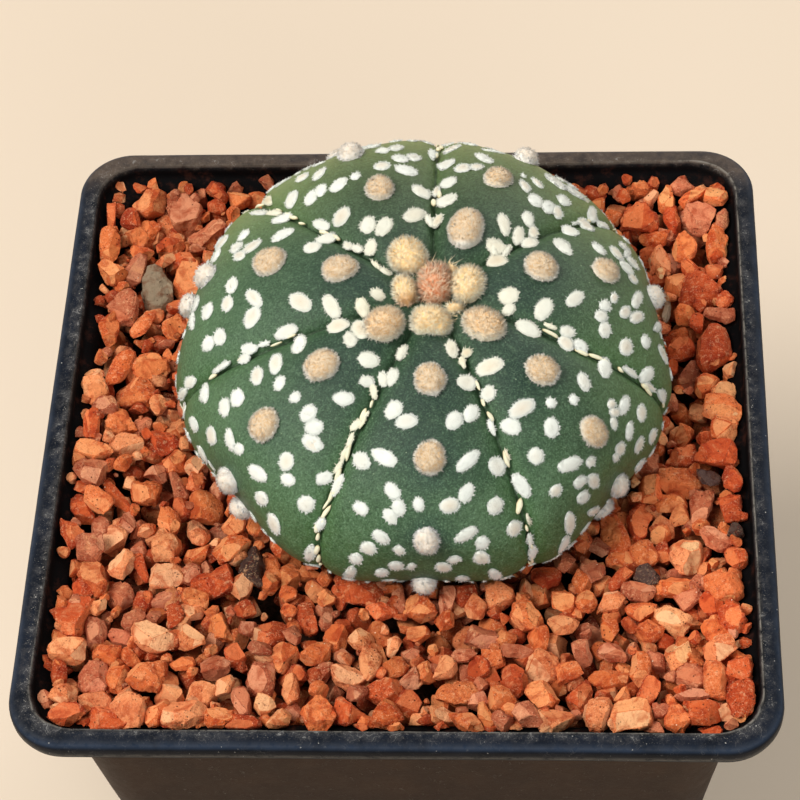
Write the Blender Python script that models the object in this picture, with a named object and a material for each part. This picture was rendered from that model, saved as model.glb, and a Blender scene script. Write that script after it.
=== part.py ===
"""Potted star cactus: a seven-ribbed star cactus on crushed baked-clay chips
in a square tapered nursery pot.  Metres, +Z up, origin at the middle of the
pot's underside.  Sub-parts: pot, potting_mix, gravel_bed, cactus and the large
loose chips chip_01 to chip_28."""
import math
import random

import bmesh
import bpy
from mathutils import Vector

random.seed(9)
MM = 0.001

# ---------------------------------------------------------------- dimensions
# all in millimetres
POT_HEIGHT = 90.0          # floor to the top of the rim
RIM_HALF = 50.0            # half the rim's outer width
RIM_CORNER_R = 7.5
SKIRT_DROP = 3.6           # rim skirt, top to lower edge
LEDGE_DROP = 2.7           # step in the skirt's outer face
WALL_HALF_TOP = 46.19      # outer half width of the wall, if carried to the top
WALL_TAPER = 0.1016        # half width lost per mm of depth
WALL_T = 1.15
BASE_T = 2.2
CORNER_TOP = 8.5           # wall corner radius at the top and at the base
CORNER_BASE = 6.5
HOLE_R = 3.6               # corner drainage holes
HOLE_AT = 23.0
SLOT_R = 2.6               # middle-of-side drainage holes
SLOT_AT = 26.0

GAP = 0.3                  # air between neighbouring sub-parts
SOIL_TOP = 77.6
BED_BASE = 77.9
BED_TOP = 83.5             # lowest level of the chips' upper surface

MID_Z = 94.0               # height of the cactus's widest level
MID_X, MID_Y = 2.45, 8.96
RADIUS = 34.75
DOME_H = 17.40             # widest level to the crown
BELLY_H = 16.98            # widest level down to the buried base
DOME_POWER = 0.918
LOBE = ((2, -0.027, -0.015), (3, 0.001, -0.004))
GROOVE_DEG = (34.4, 86.8, 133.4, 195.5, 248.4, 295.5, 344.3)
GROOVE_TWIST = (1.8, 1.8, 10.2, 5.1, 0.2, -1.1, -6.3)
CORNER_SWELL = 0.029       # the plan is a soft heptagon, corners at the grooves
CROWN_SWELL = -0.034       # and near the crown the ribs' middles swell instead
CROWN_SHIFT = (1.87, -1.27)
CROWN_DIP = 1.6
GROOVE_DEPTH = 1.5
GROOVE_WIDTH = 1.7

AREOLE_R = 2.25
AREOLE_H = 1.3
# one row of areoles down the middle of each rib: (azimuth of the rib's middle,
# elevations of its areoles above the widest level), in degrees
AREOLES = (
    (12, (83, 65, 45, 12)),
    (65, (73, 53, 26, 0)),
    (112, (81, 60, 34, 6)),
    (165, (84, 71, 52, 25, -3)),
    (222, (79, 61, 38, 5)),
    (272, (83, 68, 47, 17, -14)),
    (320, (77, 58, 33, 0)),
)

# large loose chips: middle x, y, length, width, turn about Z in degrees.  The
# places were measured along a slant, on a level CHIP_RAISE below the chips'
CHIP_RAISE = 1.5
SLANT_FROM = (21.0, -192.7, 284.0)
CHIPS = (
    (-37.9, 27.7, 9.4, 4.9, -77), (33.5, 40.2, 5.4, 5.6, 0),
    (-32.8, -36.5, 5.5, 5.4, -11), (-25.4, -22.5, 6.5, 4.4, 24),
    (-37.6, 14.0, 5.5, 5.0, 19), (38.9, -18.0, 5.5, 5.0, -65),
    (-32.2, -16.6, 5.6, 4.6, -60), (40.6, -10.2, 7.1, 3.4, -109),
    (-40.6, 3.8, 5.0, 4.8, 0), (-17.8, -37.3, 5.8, 4.1, -82),
    (17.1, -27.6, 4.9, 4.8, 0), (8.2, -39.3, 6.0, 3.8, 12),
    (15.3, -37.2, 5.4, 4.1, -81), (-40.2, -37.0, 4.4, 5.0, 0),
    (-36.0, -7.8, 4.4, 4.6, 0), (-34.4, 1.1, 5.1, 3.9, -47),
    (-31.0, 38.4, 6.3, 3.2, 38), (38.4, -1.6, 4.6, 4.0, 0),
    (-6.6, -37.1, 4.9, 3.6, -37), (37.0, -33.1, 5.2, 3.6, -83),
    (-40.2, 38.6, 4.3, 3.9, 0), (38.6, 28.4, 5.2, 3.4, -84),
    (-39.6, -15.4, 3.8, 4.2, 0), (24.0, -39.4, 4.6, 3.6, -90),
    (-23.9, -29.2, 3.7, 4.0, 0), (-12.5, -27.6, 4.6, 3.2, -87),
    (39.8, 12.6, 4.6, 3.3, -92), (25.8, -20.4, 3.7, 3.7, 0),
)

# ------------------------------------------------------------------ helpers
for ob in list(bpy.data.objects):
    bpy.data.objects.remove(ob, do_unlink=True)

parts = bpy.data.collections.new("potted_star_cactus")
tools = bpy.data.collections.new("cutters")
bpy.context.scene.collection.children.link(parts)
bpy.context.scene.collection.children.link(tools)


def material(name, rgb, rough):
    m = bpy.data.materials.new(name)
    m.use_nodes = True
    b = m.node_tree.nodes["Principled BSDF"]
    b.inputs["Base Color"].default_value = (*rgb, 1.0)
    b.inputs["Roughness"].default_value = rough
    return m


def finish(bm, name, where, mat=None):
    bmesh.ops.remove_doubles(bm, verts=bm.verts, dist=1e-7)
    bmesh.ops.recalc_face_normals(bm, faces=bm.faces)
    bmesh.ops.scale(bm, vec=(MM, MM, MM), verts=bm.verts)
    me = bpy.data.meshes.new(name)
    bm.to_mesh(me)
    bm.free()
    ob = bpy.data.objects.new(name, me)
    where.objects.link(ob)
    if mat:
        me.materials.append(mat)
    if where is tools:
        ob.hide_render = True
        ob.display_type = "WIRE"
    return ob


def boolean(ob, cutter, operation):
    m = ob.modifiers.new(operation.lower() + "_" + cutter.name, "BOOLEAN")
    m.operation = operation
    m.solver = "EXACT"
    m.object = cutter


def rounded_square(half, r, z, per_corner=6, per_side=1):
    """Points around a square with rounded corners, counter-clockwise."""
    pts = []
    c = half - r
    for k, (sx, sy) in enumerate(((1, 1), (-1, 1), (-1, -1), (1, -1))):
        for i in range(per_corner + 1):
            a = (k + i / per_corner) * math.pi / 2
            pts.append((sx * c + r * math.cos(a), sy * c + r * math.sin(a), z))
        nx, ny = ((-1, 1), (-1, -1), (1, -1), (1, 1))[k]
        a = (k + 1) * math.pi / 2
        p = (sx * c + r * math.cos(a), sy * c + r * math.sin(a))
        q = (nx * c + r * math.cos(a), ny * c + r * math.sin(a))
        for i in range(1, per_side):
            t = i / per_side
            pts.append((p[0] + (q[0] - p[0]) * t, p[1] + (q[1] - p[1]) * t, z))
    return pts


def loft(rings, close_ends=True):
    """Skin between unlike rings with the same point count."""
    bm = bmesh.new()
    vs = [[bm.verts.new(p) for p in ring] for ring in rings]
    n = len(rings[0])
    for a, b in zip(vs, vs[1:]):
        for i in range(n):
            j = (i + 1) % n
            bm.faces.new((a[i], a[j], b[j], b[i]))
    if close_ends:
        bm.faces.new(list(reversed(vs[0])))
        bm.faces.new(vs[-1])
    return bm


def wall_half(z):
    return WALL_HALF_TOP - WALL_TAPER * (POT_HEIGHT - z)


def wall_corner(z):
    return CORNER_BASE + (CORNER_TOP - CORNER_BASE) * z / POT_HEIGHT


def inner_half(z):
    return wall_half(z) - WALL_T


def inner_corner(z):
    return wall_corner(z) - WALL_T


# ---------------------------------------------------------------------- pot
H = POT_HEIGHT
skirt = H - SKIRT_DROP
step = H - LEDGE_DROP
profile = [
    (wall_half(0) - 0.7, wall_corner(0) - 0.7, 0.0),
    (wall_half(0.8), wall_corner(0.8), 0.8),
    (wall_half(skirt), wall_corner(skirt), skirt),
    (RIM_HALF - 0.45, RIM_CORNER_R - 0.4, skirt),
    (RIM_HALF - 0.22, RIM_CORNER_R - 0.2, skirt + 0.2),
    (RIM_HALF - 0.22, RIM_CORNER_R - 0.2, step - 0.1),
    (RIM_HALF, RIM_CORNER_R, step + 0.1),
    (RIM_HALF, RIM_CORNER_R, H - 1.15),
    (RIM_HALF - 0.16, RIM_CORNER_R - 0.16, H - 0.62),
    (RIM_HALF - 0.55, RIM_CORNER_R - 0.5, H - 0.2),
    (RIM_HALF - 1.15, RIM_CORNER_R - 0.9, H),
    (RIM_HALF - 2.6, RIM_CORNER_R - 1.4, H),
    (RIM_HALF - 2.95, RIM_CORNER_R - 1.4, H - 0.25),
    (RIM_HALF - 3.1, RIM_CORNER_R - 1.3, H - 0.8),
    (RIM_HALF - 3.25, RIM_CORNER_R - 1.2, H - 2.0),
    (RIM_HALF - 3.6, RIM_CORNER_R - 1.0, H - 2.4),
    (inner_half(H - 3.2) + 0.3, inner_corner(H - 3.2), H - 3.2),
    (inner_half(H - 4), inner_corner(H - 4), H - 4),
    (inner_half(BASE_T + 1.2), inner_corner(BASE_T + 1.2), BASE_T + 1.2),
    (inner_half(BASE_T) - 1.0, inner_corner(BASE_T) - 1.0, BASE_T),
]
pot = finish(loft([rounded_square(*p, per_corner=8) for p in profile]),
             "pot", parts, material("pot_plastic", (0.03, 0.033, 0.038), 0.5))


def drill(name, x, y, r):
    bm = bmesh.new()
    bmesh.ops.create_cone(bm, cap_ends=True, segments=20, radius1=r, radius2=r,
                          depth=BASE_T + 4)
    bmesh.ops.translate(bm, vec=(x, y, BASE_T / 2), verts=bm.verts)
    return finish(bm, name, tools)


for i, (sx, sy) in enumerate(((1, 1), (-1, 1), (-1, -1), (1, -1))):
    boolean(pot, drill(f"corner_hole_{i + 1}", sx * HOLE_AT, sy * HOLE_AT, HOLE_R),
            "DIFFERENCE")
for i, (sx, sy) in enumerate(((1, 0), (0, 1), (-1, 0), (0, -1))):
    boolean(pot, drill(f"side_hole_{i + 1}", sx * SLOT_AT, sy * SLOT_AT, SLOT_R),
            "DIFFERENCE")


# ------------------------------------------------------------------- cactus
def across_rib(az, el):
    """-1 at one groove, 0 down the rib's middle, 1 at the next groove, and the
    rib's angular width."""
    t = max(math.sin(el), 0.0)
    g = sorted((math.radians(a + w * t)) % math.tau
               for a, w in zip(GROOVE_DEG, GROOVE_TWIST))
    az %= math.tau
    edges = [g[-1] - math.tau] + g + [g[0] + math.tau]
    for lo, hi in zip(edges, edges[1:]):
        if lo <= az < hi:
            return 2 * (az - lo) / (hi - lo) - 1, hi - lo
    return 0.0, math.tau / 7


def skin(az, el, grow=0.0, grooves=True):
    """Point of the cactus's skin at an azimuth and an elevation."""
    r = RADIUS * (1 + sum(a * math.cos(k * az) + b * math.sin(k * az)
                          for k, a, b in LOBE))
    u, width = across_rib(az, el)
    top = max(math.sin(el), 0.0)
    swell = CORNER_SWELL * (1 - top) + CROWN_SWELL * top
    r *= 1 - swell * math.cos(math.pi * u)
    flat = max(math.cos(el), 0.0) ** DOME_POWER
    rise = abs(math.sin(el)) ** DOME_POWER
    rho = r * flat
    depth = 0.0
    if grooves:
        off = (1 - abs(u)) * width / 2 * rho
        depth = GROOVE_DEPTH * math.exp(-off / GROOVE_WIDTH) * min(1.0, rho / 9.0)
    z = DOME_H * rise if el > 0 else -BELLY_H * rise
    rho += (grow - depth) * math.cos(el)
    z += (grow - depth) * math.sin(el)
    if el > 0:
        z -= CROWN_DIP * math.exp(-(rho / 7.0) ** 2)
    s = top * top
    return Vector((MID_X + CROWN_SHIFT[0] * s + rho * math.cos(az),
                   MID_Y + CROWN_SHIFT[1] * s + rho * math.sin(az), MID_Z + z))


def ribbed_body(name, where, mat, grow, per_rib, rows, grooves=True, low=-90.0):
    """A globe whose points are moved onto the skin; every groove has its own
    meridian, so the creases stay sharp, and meridians crowd towards it."""
    g = [math.radians(a) for a in GROOVE_DEG]
    bm = bmesh.new()
    bmesh.ops.create_uvsphere(bm, u_segments=7 * per_rib, v_segments=rows, radius=1.0)
    for v in bm.verts:
        level = math.asin(max(-1.0, min(1.0, v.co.z))) / math.pi + 0.5
        el = math.radians(low + (90.0 - low) * level)
        if level < 1e-4:
            ring_z = skin(0.0, el, grow, grooves).z
            v.co = Vector((MID_X, MID_Y, ring_z))
            continue
        step = round(math.atan2(v.co.y, v.co.x) / math.tau * 7 * per_rib) % (7 * per_rib)
        k, t = step // per_rib, (step % per_rib) / per_rib
        if grooves:
            t = 0.5 - 0.5 * math.cos(math.pi * t)
        twist = max(math.sin(el), 0.0)
        edge = [a + math.radians(w) * twist for a, w in zip(g, GROOVE_TWIST)]
        edge.append(edge[0] + math.tau)
        az = edge[k] + (edge[k + 1] - edge[k]) * t
        v.co = skin(az + 1e-6, el, grow, grooves)
    return finish(bm, name, where, mat)


cactus = ribbed_body("cactus", parts,
                     material("cactus_skin", (0.05, 0.12, 0.045), 0.55),
                     0.0, 10, 19, low=-72.0)


def outward(az, el):
    h = 1e-3
    a = skin(az + h, el, 0, False) - skin(az - h, el, 0, False)
    b = skin(az, el + h, 0, False) - skin(az, el - h, 0, False)
    return a.cross(b).normalized()


bm = bmesh.new()
for az_deg, rows in AREOLES:
    for el_deg in rows:
        az, el = math.radians(az_deg), math.radians(el_deg)
        at = skin(az, el, 0, False)
        up = outward(az, el)
        r = AREOLE_R * (1.0 if el_deg < 80 else 0.85)
        turn = Vector((0, 0, 1)).rotation_difference(up).to_matrix()
        made = bmesh.ops.create_icosphere(bm, subdivisions=1, radius=1.0)["verts"]
        for v in made:
            v.co = at + turn @ Vector((v.co.x * r, v.co.y * r, v.co.z * AREOLE_H))
cushions = finish(bm, "areole_cushions", tools)
boolean(cactus, cushions, "UNION")

# ------------------------------------------------------- mix and gravel bed
hollow = ribbed_body("cactus_room", tools, None, GAP + 0.25, 6, 14,
                     grooves=False, low=-78.0)

soil = finish(loft([
    rounded_square(inner_half(BASE_T + GAP) - GAP - 1.0,
                   inner_corner(BASE_T + GAP) - 1.2, BASE_T + GAP),
    rounded_square(inner_half(BASE_T + 1.6) - GAP - 0.1,
                   inner_corner(BASE_T + 1.6) - GAP, BASE_T + 1.6),
    rounded_square(inner_half(SOIL_TOP) - GAP, inner_corner(SOIL_TOP) - GAP,
                   SOIL_TOP),
]), "potting_mix", parts, material("dark_mix", (0.06, 0.035, 0.025), 0.95))
boolean(soil, hollow, "DIFFERENCE")

cells = [(i * 5.4 + random.uniform(-1.9, 1.9) + (2.7 if j % 2 else 0),
          j * 5.0 + random.uniform(-1.9, 1.9), random.uniform(0.0, 1.0),
          random.uniform(-0.16, 0.16), random.uniform(-0.16, 0.16))
         for i in range(-10, 11) for j in range(-11, 12)]


def bed_height(x, y):
    """Upper surface of the small chips: flat facets at random levels."""
    near = min(cells, key=lambda c: (c[0] - x) ** 2 + (c[1] - y) ** 2)
    rise = near[2] + near[3] * (x - near[0]) + near[4] * (y - near[1])
    return BED_TOP + max(0.0, min(1.2, rise))


def squared(x, y, half, r):
    """Move a point of a square sheet to the same place on a sheet whose corners
    are rounded."""
    c = half - r
    dx, dy = abs(x) - c, abs(y) - c
    if dx > 0 and dy > 0:
        f = max(dx, dy) / math.hypot(dx, dy)
        return math.copysign(c + dx * f, x), math.copysign(c + dy * f, y)
    return x, y


# a sheet of facets, extruded down to the mix and narrowed with the pot's wall
top_half = inner_half(BED_TOP) - GAP
bm = bmesh.new()
bmesh.ops.create_grid(bm, x_segments=22, y_segments=22, size=top_half)
for v in bm.verts:
    rim = max(abs(v.co.x), abs(v.co.y)) > top_half - 0.5
    x, y = squared(v.co.x, v.co.y, top_half, inner_corner(BED_TOP) - GAP)
    v.co = Vector((x, y, BED_TOP if rim else bed_height(x, y)))
low = bmesh.ops.extrude_face_region(bm, geom=bm.faces[:])["geom"]
shrink = (inner_half(BED_BASE) - GAP) / top_half
for v in low:
    if isinstance(v, bmesh.types.BMVert):
        v.co = Vector((v.co.x * shrink, v.co.y * shrink, BED_BASE))
bed = finish(bm, "gravel_bed", parts,
             material("clay_chips", (0.45, 0.16, 0.07), 0.9))
boolean(bed, hollow, "DIFFERENCE")

# -------------------------------------------------------- large loose chips
def bed_peak(x, y, reach):
    """Highest the bed can stand under a chip."""
    pts = [(x, y)]
    for k in range(12):
        a = k * math.tau / 12
        for r in (reach * 0.5, reach, reach + 3.0):
            pts.append((x + r * math.cos(a), y + r * math.sin(a)))
    return max(bed_height(*p) for p in pts)


chip_mat = material("chip_clay", (0.52, 0.2, 0.09), 0.9)
for n, (x, y, length, width, turn) in enumerate(CHIPS):
    height = 0.62 * min(width, length)
    x += (SLANT_FROM[0] - x) * CHIP_RAISE / SLANT_FROM[2]
    y += (SLANT_FROM[1] - y) * CHIP_RAISE / SLANT_FROM[2]
    bm = bmesh.new()
    for _ in range(15):
        d = Vector((random.gauss(0, 1), random.gauss(0, 1), random.gauss(0, 1)))
        d.normalize()
        bm.verts.new((d.x, d.y, max(-0.8, d.z)))
    hull = bmesh.ops.convex_hull(bm, input=bm.verts)
    bmesh.ops.delete(bm, geom=[g for g in hull["geom_interior"]
                               if isinstance(g, bmesh.types.BMVert)],
                     context="VERTS")
    span = [max(v.co[i] for v in bm.verts) - min(v.co[i] for v in bm.verts)
            for i in range(3)]
    mid = [(max(v.co[i] for v in bm.verts) + min(v.co[i] for v in bm.verts)) / 2
           for i in range(3)]
    c, s = math.cos(math.radians(turn)), math.sin(math.radians(turn))
    floor = bed_peak(x, y, max(length, width) / 2) + GAP
    for v in bm.verts:
        px = (v.co.x - mid[0]) / span[0] * length
        py = (v.co.y - mid[1]) / span[1] * width
        pz = ((v.co.z - mid[2]) / span[2] + 0.5) * height
        v.co = Vector((x + c * px - s * py, y + s * px + c * py, floor + pz))
    chip = finish(bm, f"chip_{n + 1:02d}", parts, chip_mat)
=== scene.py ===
"""Looks of the potted star cactus: a seven-ribbed star cactus with felted
areoles and white flecks, on crushed clay chips in a square black pot.
Metres in the shared frame; the numbers below are in millimetres or in pixels
of the 800 x 800 photograph, as each block says."""

import math

import bmesh
import bpy
import numpy as np
from mathutils import Matrix, Vector, noise
from mathutils.bvhtree import BVHTree


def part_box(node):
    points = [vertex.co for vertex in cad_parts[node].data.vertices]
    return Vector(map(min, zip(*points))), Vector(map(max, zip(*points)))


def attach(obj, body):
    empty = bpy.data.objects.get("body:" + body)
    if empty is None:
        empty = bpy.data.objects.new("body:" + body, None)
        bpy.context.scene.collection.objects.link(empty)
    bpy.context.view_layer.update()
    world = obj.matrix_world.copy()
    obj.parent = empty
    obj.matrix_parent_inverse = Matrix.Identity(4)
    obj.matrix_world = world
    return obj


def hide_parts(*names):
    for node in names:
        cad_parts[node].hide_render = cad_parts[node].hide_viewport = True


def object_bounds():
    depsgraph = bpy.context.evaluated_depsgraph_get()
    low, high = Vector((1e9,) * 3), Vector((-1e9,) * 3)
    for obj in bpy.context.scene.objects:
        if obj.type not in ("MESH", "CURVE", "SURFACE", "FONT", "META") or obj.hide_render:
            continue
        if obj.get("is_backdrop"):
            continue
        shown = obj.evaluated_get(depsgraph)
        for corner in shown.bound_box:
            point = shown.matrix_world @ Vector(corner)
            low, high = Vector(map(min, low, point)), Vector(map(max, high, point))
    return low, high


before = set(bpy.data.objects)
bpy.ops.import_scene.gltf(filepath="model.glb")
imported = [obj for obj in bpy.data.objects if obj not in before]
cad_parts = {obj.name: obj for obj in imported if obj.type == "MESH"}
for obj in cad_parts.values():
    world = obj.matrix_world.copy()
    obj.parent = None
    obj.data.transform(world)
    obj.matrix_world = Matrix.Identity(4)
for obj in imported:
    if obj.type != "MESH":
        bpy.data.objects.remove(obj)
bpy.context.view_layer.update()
MM = 0.001
TAU = math.tau

# ------------------------------------------------------- the cactus, as in CAD
MID_X, MID_Y, MID_Z = 2.45, 8.96, 94.0
RADIUS, DOME_H, BELLY_H, DOME_POWER = 34.75, 17.40, 16.98, 0.918
LOBE = ((2, -0.027, -0.015), (3, 0.001, -0.004))
GROOVE_DEG = (34.4, 86.8, 133.4, 195.5, 248.4, 295.5, 344.3)
GROOVE_TWIST = (1.8, 1.8, 10.2, 5.1, 0.2, -1.1, -6.3)
CORNER_SWELL, CROWN_SWELL = 0.029, -0.034
CROWN_SHIFT, CROWN_DIP = (1.87, -1.27), 1.6
GROOVE_DEPTH, GROOVE_WIDTH = 1.5, 1.7

# ------------------------------------------------------------ the pot, as in CAD
POT_HEIGHT, RIM_HALF, RIM_CORNER_R = 90.0, 50.0, 7.5
SKIRT_DROP, LEDGE_DROP = 3.6, 2.7
WALL_HALF_TOP, WALL_TAPER, WALL_T, BASE_T = 46.19, 0.1016, 1.15, 2.2
CORNER_TOP, CORNER_BASE = 8.5, 6.5
HOLE_R, HOLE_AT, SLOT_R, SLOT_AT = 3.6, 23.0, 2.6, 26.0

# ------------------------------------------------------------- the photo's camera
EYE = np.array((20.98, -192.74, 368.72))
FOCAL = 2455.97
RIGHT = np.array((0.99798871, 0.03554896, -0.05248622))
DOWN = np.array((-0.00123398, -0.8169132, -0.57675931))
AHEAD = np.array((-0.06337988, 0.57566405, -0.81522628))


def sight(px, py):
    """Direction from the eye through a pixel of the photograph."""
    d = RIGHT * (px - 400) / FOCAL + DOWN * (py - 400) / FOCAL + AHEAD
    return d / np.linalg.norm(d)


def on_level(px, py, z):
    d = sight(px, py)
    return EYE + d * (z - EYE[2]) / d[2]


def srgb(*c):
    """Linear colour from 0-255 display values."""
    v = np.array(c, float) / 255
    v = np.where(v <= 0.04045, v / 12.92, ((v + 0.055) / 1.055) ** 2.4)
    return tuple(float(x) for x in v) + (1.0,)


# ------------------------------------------------------------------ mesh helpers
def make_object(name, verts, faces, mat, smooth=True):
    """Object from millimetre points and a list of faces."""
    me = bpy.data.meshes.new(name)
    me.from_pydata((np.asarray(verts, float) * MM).tolist(), [],
                   faces if isinstance(faces, list) else faces.tolist())
    me.validate()
    me.update()
    me.polygons.foreach_set("use_smooth", [smooth] * len(me.polygons))
    ob = bpy.data.objects.new(name, me)
    bpy.context.scene.collection.objects.link(ob)
    for m in (mat if isinstance(mat, (list, tuple)) else [mat]):
        me.materials.append(m)
    return ob


def paint(ob, name, values, domain="POINT"):
    """Colour attribute from an (n, 3) array of linear values."""
    v = np.asarray(values, np.float32)
    rgba = np.ones((len(v), 4), np.float32)
    rgba[:, :v.shape[1]] = v
    a = ob.data.color_attributes.new(name, "FLOAT_COLOR", domain)
    a.data.foreach_set("color", rgba.ravel())


def unit(v):
    v = np.asarray(v, float)
    n = np.linalg.norm(v, axis=-1, keepdims=True)
    return v / np.maximum(n, 1e-12)


def sides_of(n):
    """Two unit vectors square to each row of n."""
    n = unit(n)
    ref = np.where(np.abs(n[..., 2:3]) < 0.9, (0.0, 0.0, 1.0), (1.0, 0.0, 0.0))
    a = unit(np.cross(ref, n))
    return a, np.cross(n, a)


def wander(rng, count):
    """Unit vectors spread evenly over the sphere."""
    return unit(rng.normal(size=(count, 3)))


class Blades:
    """Collects short tapered fibres, each a spike of three faces."""

    def __init__(self):
        self.v, self.f, self.c, self.m, self.n = [], [], [], [], 0

    def add(self, base, way, length, width, bend, deep, tip, rng, up, soft=0.75):
        base, way = np.asarray(base, float), unit(way)
        n = len(base)
        length = np.broadcast_to(length, (n,))[:, None]
        width = np.broadcast_to(width, (n,))[:, None]
        up = np.broadcast_to(up, (n, 3))
        end = base + (way + np.asarray(bend, float)) * length
        a, b = sides_of(way)
        turn = rng.uniform(0, TAU, (n, 1))
        # the spikes shade nearly as the felt does as a whole
        foot, shade = [], []
        for k in range(3):
            out = a * np.cos(turn + k * TAU / 3) + b * np.sin(turn + k * TAU / 3)
            foot.append(base + out * width / 2)
            shade.append(unit(soft * up + (1 - soft) * out))
        shade.append(unit(up + 0.15 * wander(rng, n)))
        k = self.n + 4 * np.arange(n)[:, None]
        self.f.append(np.concatenate([k + (0, 1, 3), k + (1, 2, 3), k + (2, 0, 3)]))
        deep = np.broadcast_to(deep, (n, 3))
        tip = np.broadcast_to(tip, (n, 3))
        self.v.append(np.stack(foot + [end], 1).reshape(-1, 3))
        self.c.append(np.stack([deep, deep, deep, tip], 1).reshape(-1, 3))
        self.m.append(np.stack(shade, 1).reshape(-1, 3))
        self.n += 4 * n

    def build(self, name, mat):
        ob = make_object(name, np.concatenate(self.v), np.concatenate(self.f), mat)
        paint(ob, "tint", np.concatenate(self.c))
        fibre_map(ob)
        ob.data.normals_split_custom_set_from_vertices(np.concatenate(self.m).tolist())
        return ob


def fibre_map(ob):
    """A map of small cells, one for each fibre."""
    me = ob.data
    n = len(me.vertices) // 4
    across = math.ceil(math.sqrt(n))
    cell = 1.0 / across
    u = np.array([0.15, 0.5, 0.85, 0.5])
    v = np.array([0.1, 0.1, 0.1, 0.9])
    idx = np.empty(len(me.loops), np.int32)
    me.loops.foreach_get("vertex_index", idx)
    spike, corner = idx // 4, idx % 4
    uv = np.stack([(spike % across + u[corner]) * cell,
                   (spike // across + v[corner]) * cell], 1)
    layer = me.uv_layers.new(name="OFBake")
    layer.data.foreach_set("uv", uv.astype(np.float32).ravel())


# --------------------------------------------------------------- material helper
class Look:
    """A Principled material and short calls for the nodes behind it."""

    def __init__(self, name, rough=0.6, metallic=0.0, spec=0.5):
        self.mat = bpy.data.materials.new(name)
        self.mat.use_nodes = True
        self.t = self.mat.node_tree
        self.b = self.t.nodes["Principled BSDF"]
        self.b.inputs["Roughness"].default_value = rough
        self.b.inputs["Metallic"].default_value = metallic
        self.b.inputs["Specular IOR Level"].default_value = spec
        co = self.t.nodes.new("ShaderNodeTexCoord")
        mm = self.t.nodes.new("ShaderNodeVectorMath")
        mm.operation = "SCALE"
        mm.inputs["Scale"].default_value = 1000.0
        self.t.links.new(co.outputs["Object"], mm.inputs[0])
        self.mm = mm.outputs["Vector"]

    def link(self, a, socket):
        if isinstance(a, (int, float)):
            socket.default_value = a
        elif isinstance(a, tuple):
            socket.default_value = a
        else:
            self.t.links.new(a, socket)

    def place(self, stretch=(1, 1, 1), turn=(0, 0, 0), move=(0, 0, 0), of=None):
        n = self.t.nodes.new("ShaderNodeMapping")
        self.t.links.new(of or self.mm, n.inputs["Vector"])
        n.inputs["Scale"].default_value = stretch
        n.inputs["Rotation"].default_value = turn
        n.inputs["Location"].default_value = move
        return n.outputs["Vector"]

    def noise(self, size, detail=2.0, rough=0.5, at=None, warp=0.0):
        """Noise whose lumps are about size millimetres across, 0 to 1."""
        n = self.t.nodes.new("ShaderNodeTexNoise")
        self.t.links.new(at or self.mm, n.inputs["Vector"])
        n.inputs["Scale"].default_value = 1.0 / size
        n.inputs["Detail"].default_value = detail
        n.inputs["Roughness"].default_value = rough
        n.inputs["Distortion"].default_value = warp
        return n.outputs["Fac"]

    def cells(self, size, feature="F1", random=1.0, at=None, out="Distance"):
        n = self.t.nodes.new("ShaderNodeTexVoronoi")
        self.t.links.new(at or self.mm, n.inputs["Vector"])
        n.feature = feature
        n.inputs["Scale"].default_value = 1.0 / size
        n.inputs["Randomness"].default_value = random
        return n.outputs[out]

    def attr(self, name, out="Color"):
        n = self.t.nodes.new("ShaderNodeAttribute")
        n.attribute_name = name
        return n.outputs[out]

    def math(self, op, a, b=0.5, c=0.5, clamp=False):
        n = self.t.nodes.new("ShaderNodeMath")
        n.operation = op
        n.use_clamp = clamp
        for v, s in zip((a, b, c), n.inputs):
            self.link(v, s)
        return n.outputs[0]

    def ramp(self, fac, *stops, mode="LINEAR"):
        """stops are (position, value or colour)."""
        n = self.t.nodes.new("ShaderNodeValToRGB")
        n.color_ramp.interpolation = mode
        e = n.color_ramp.elements
        while len(e) < len(stops):
            e.new(0.5)
        for k, (pos, c) in enumerate(stops):
            e[k].position = pos
            e[k].color = c if isinstance(c, tuple) else (c, c, c, 1.0)
        self.link(fac, n.inputs[0])
        return n.outputs[0]

    def step(self, fac, lo, hi, a=0.0, b=1.0):
        """Smooth step of fac from a at lo to b at hi."""
        n = self.t.nodes.new("ShaderNodeMapRange")
        n.interpolation_type = "SMOOTHSTEP"
        self.link(fac, n.inputs["Value"])
        for v, k in zip((lo, hi, a, b), ("From Min", "From Max", "To Min", "To Max")):
            n.inputs[k].default_value = v
        return n.outputs[0]

    def mix(self, fac, a, b, how="MIX"):
        n = self.t.nodes.new("ShaderNodeMix")
        n.data_type = "RGBA"
        n.blend_type = how
        n.clamp_factor = True
        self.link(fac, n.inputs[0])
        self.link(a, n.inputs[6])
        self.link(b, n.inputs[7])
        return n.outputs[2]

    def facing(self):
        """Upward part of the surface's own normal."""
        g = self.t.nodes.new("ShaderNodeNewGeometry")
        s = self.t.nodes.new("ShaderNodeSeparateXYZ")
        self.t.links.new(g.outputs["Normal"], s.inputs[0])
        return s.outputs["Z"]

    def split(self, of=None):
        s = self.t.nodes.new("ShaderNodeSeparateXYZ")
        self.t.links.new(of or self.mm, s.inputs[0])
        return s.outputs

    def colour(self, c):
        self.link(c, self.b.inputs["Base Color"])

    def rough(self, r):
        self.link(r, self.b.inputs["Roughness"])

    def bump(self, height, deep, strength=1.0):
        """height 0 to 1 stands for deep millimetres. Calls add up."""
        n = self.t.nodes.new("ShaderNodeBump")
        n.inputs["Strength"].default_value = strength
        n.inputs["Distance"].default_value = deep * MM
        self.link(height, n.inputs["Height"])
        if self.b.inputs["Normal"].links:
            self.t.links.new(self.b.inputs["Normal"].links[0].from_socket,
                             n.inputs["Normal"])
        self.t.links.new(n.outputs[0], self.b.inputs["Normal"])

# =================================================================== the cactus
GROOVES = np.radians(GROOVE_DEG)
TWISTS = np.radians(GROOVE_TWIST)


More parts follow.
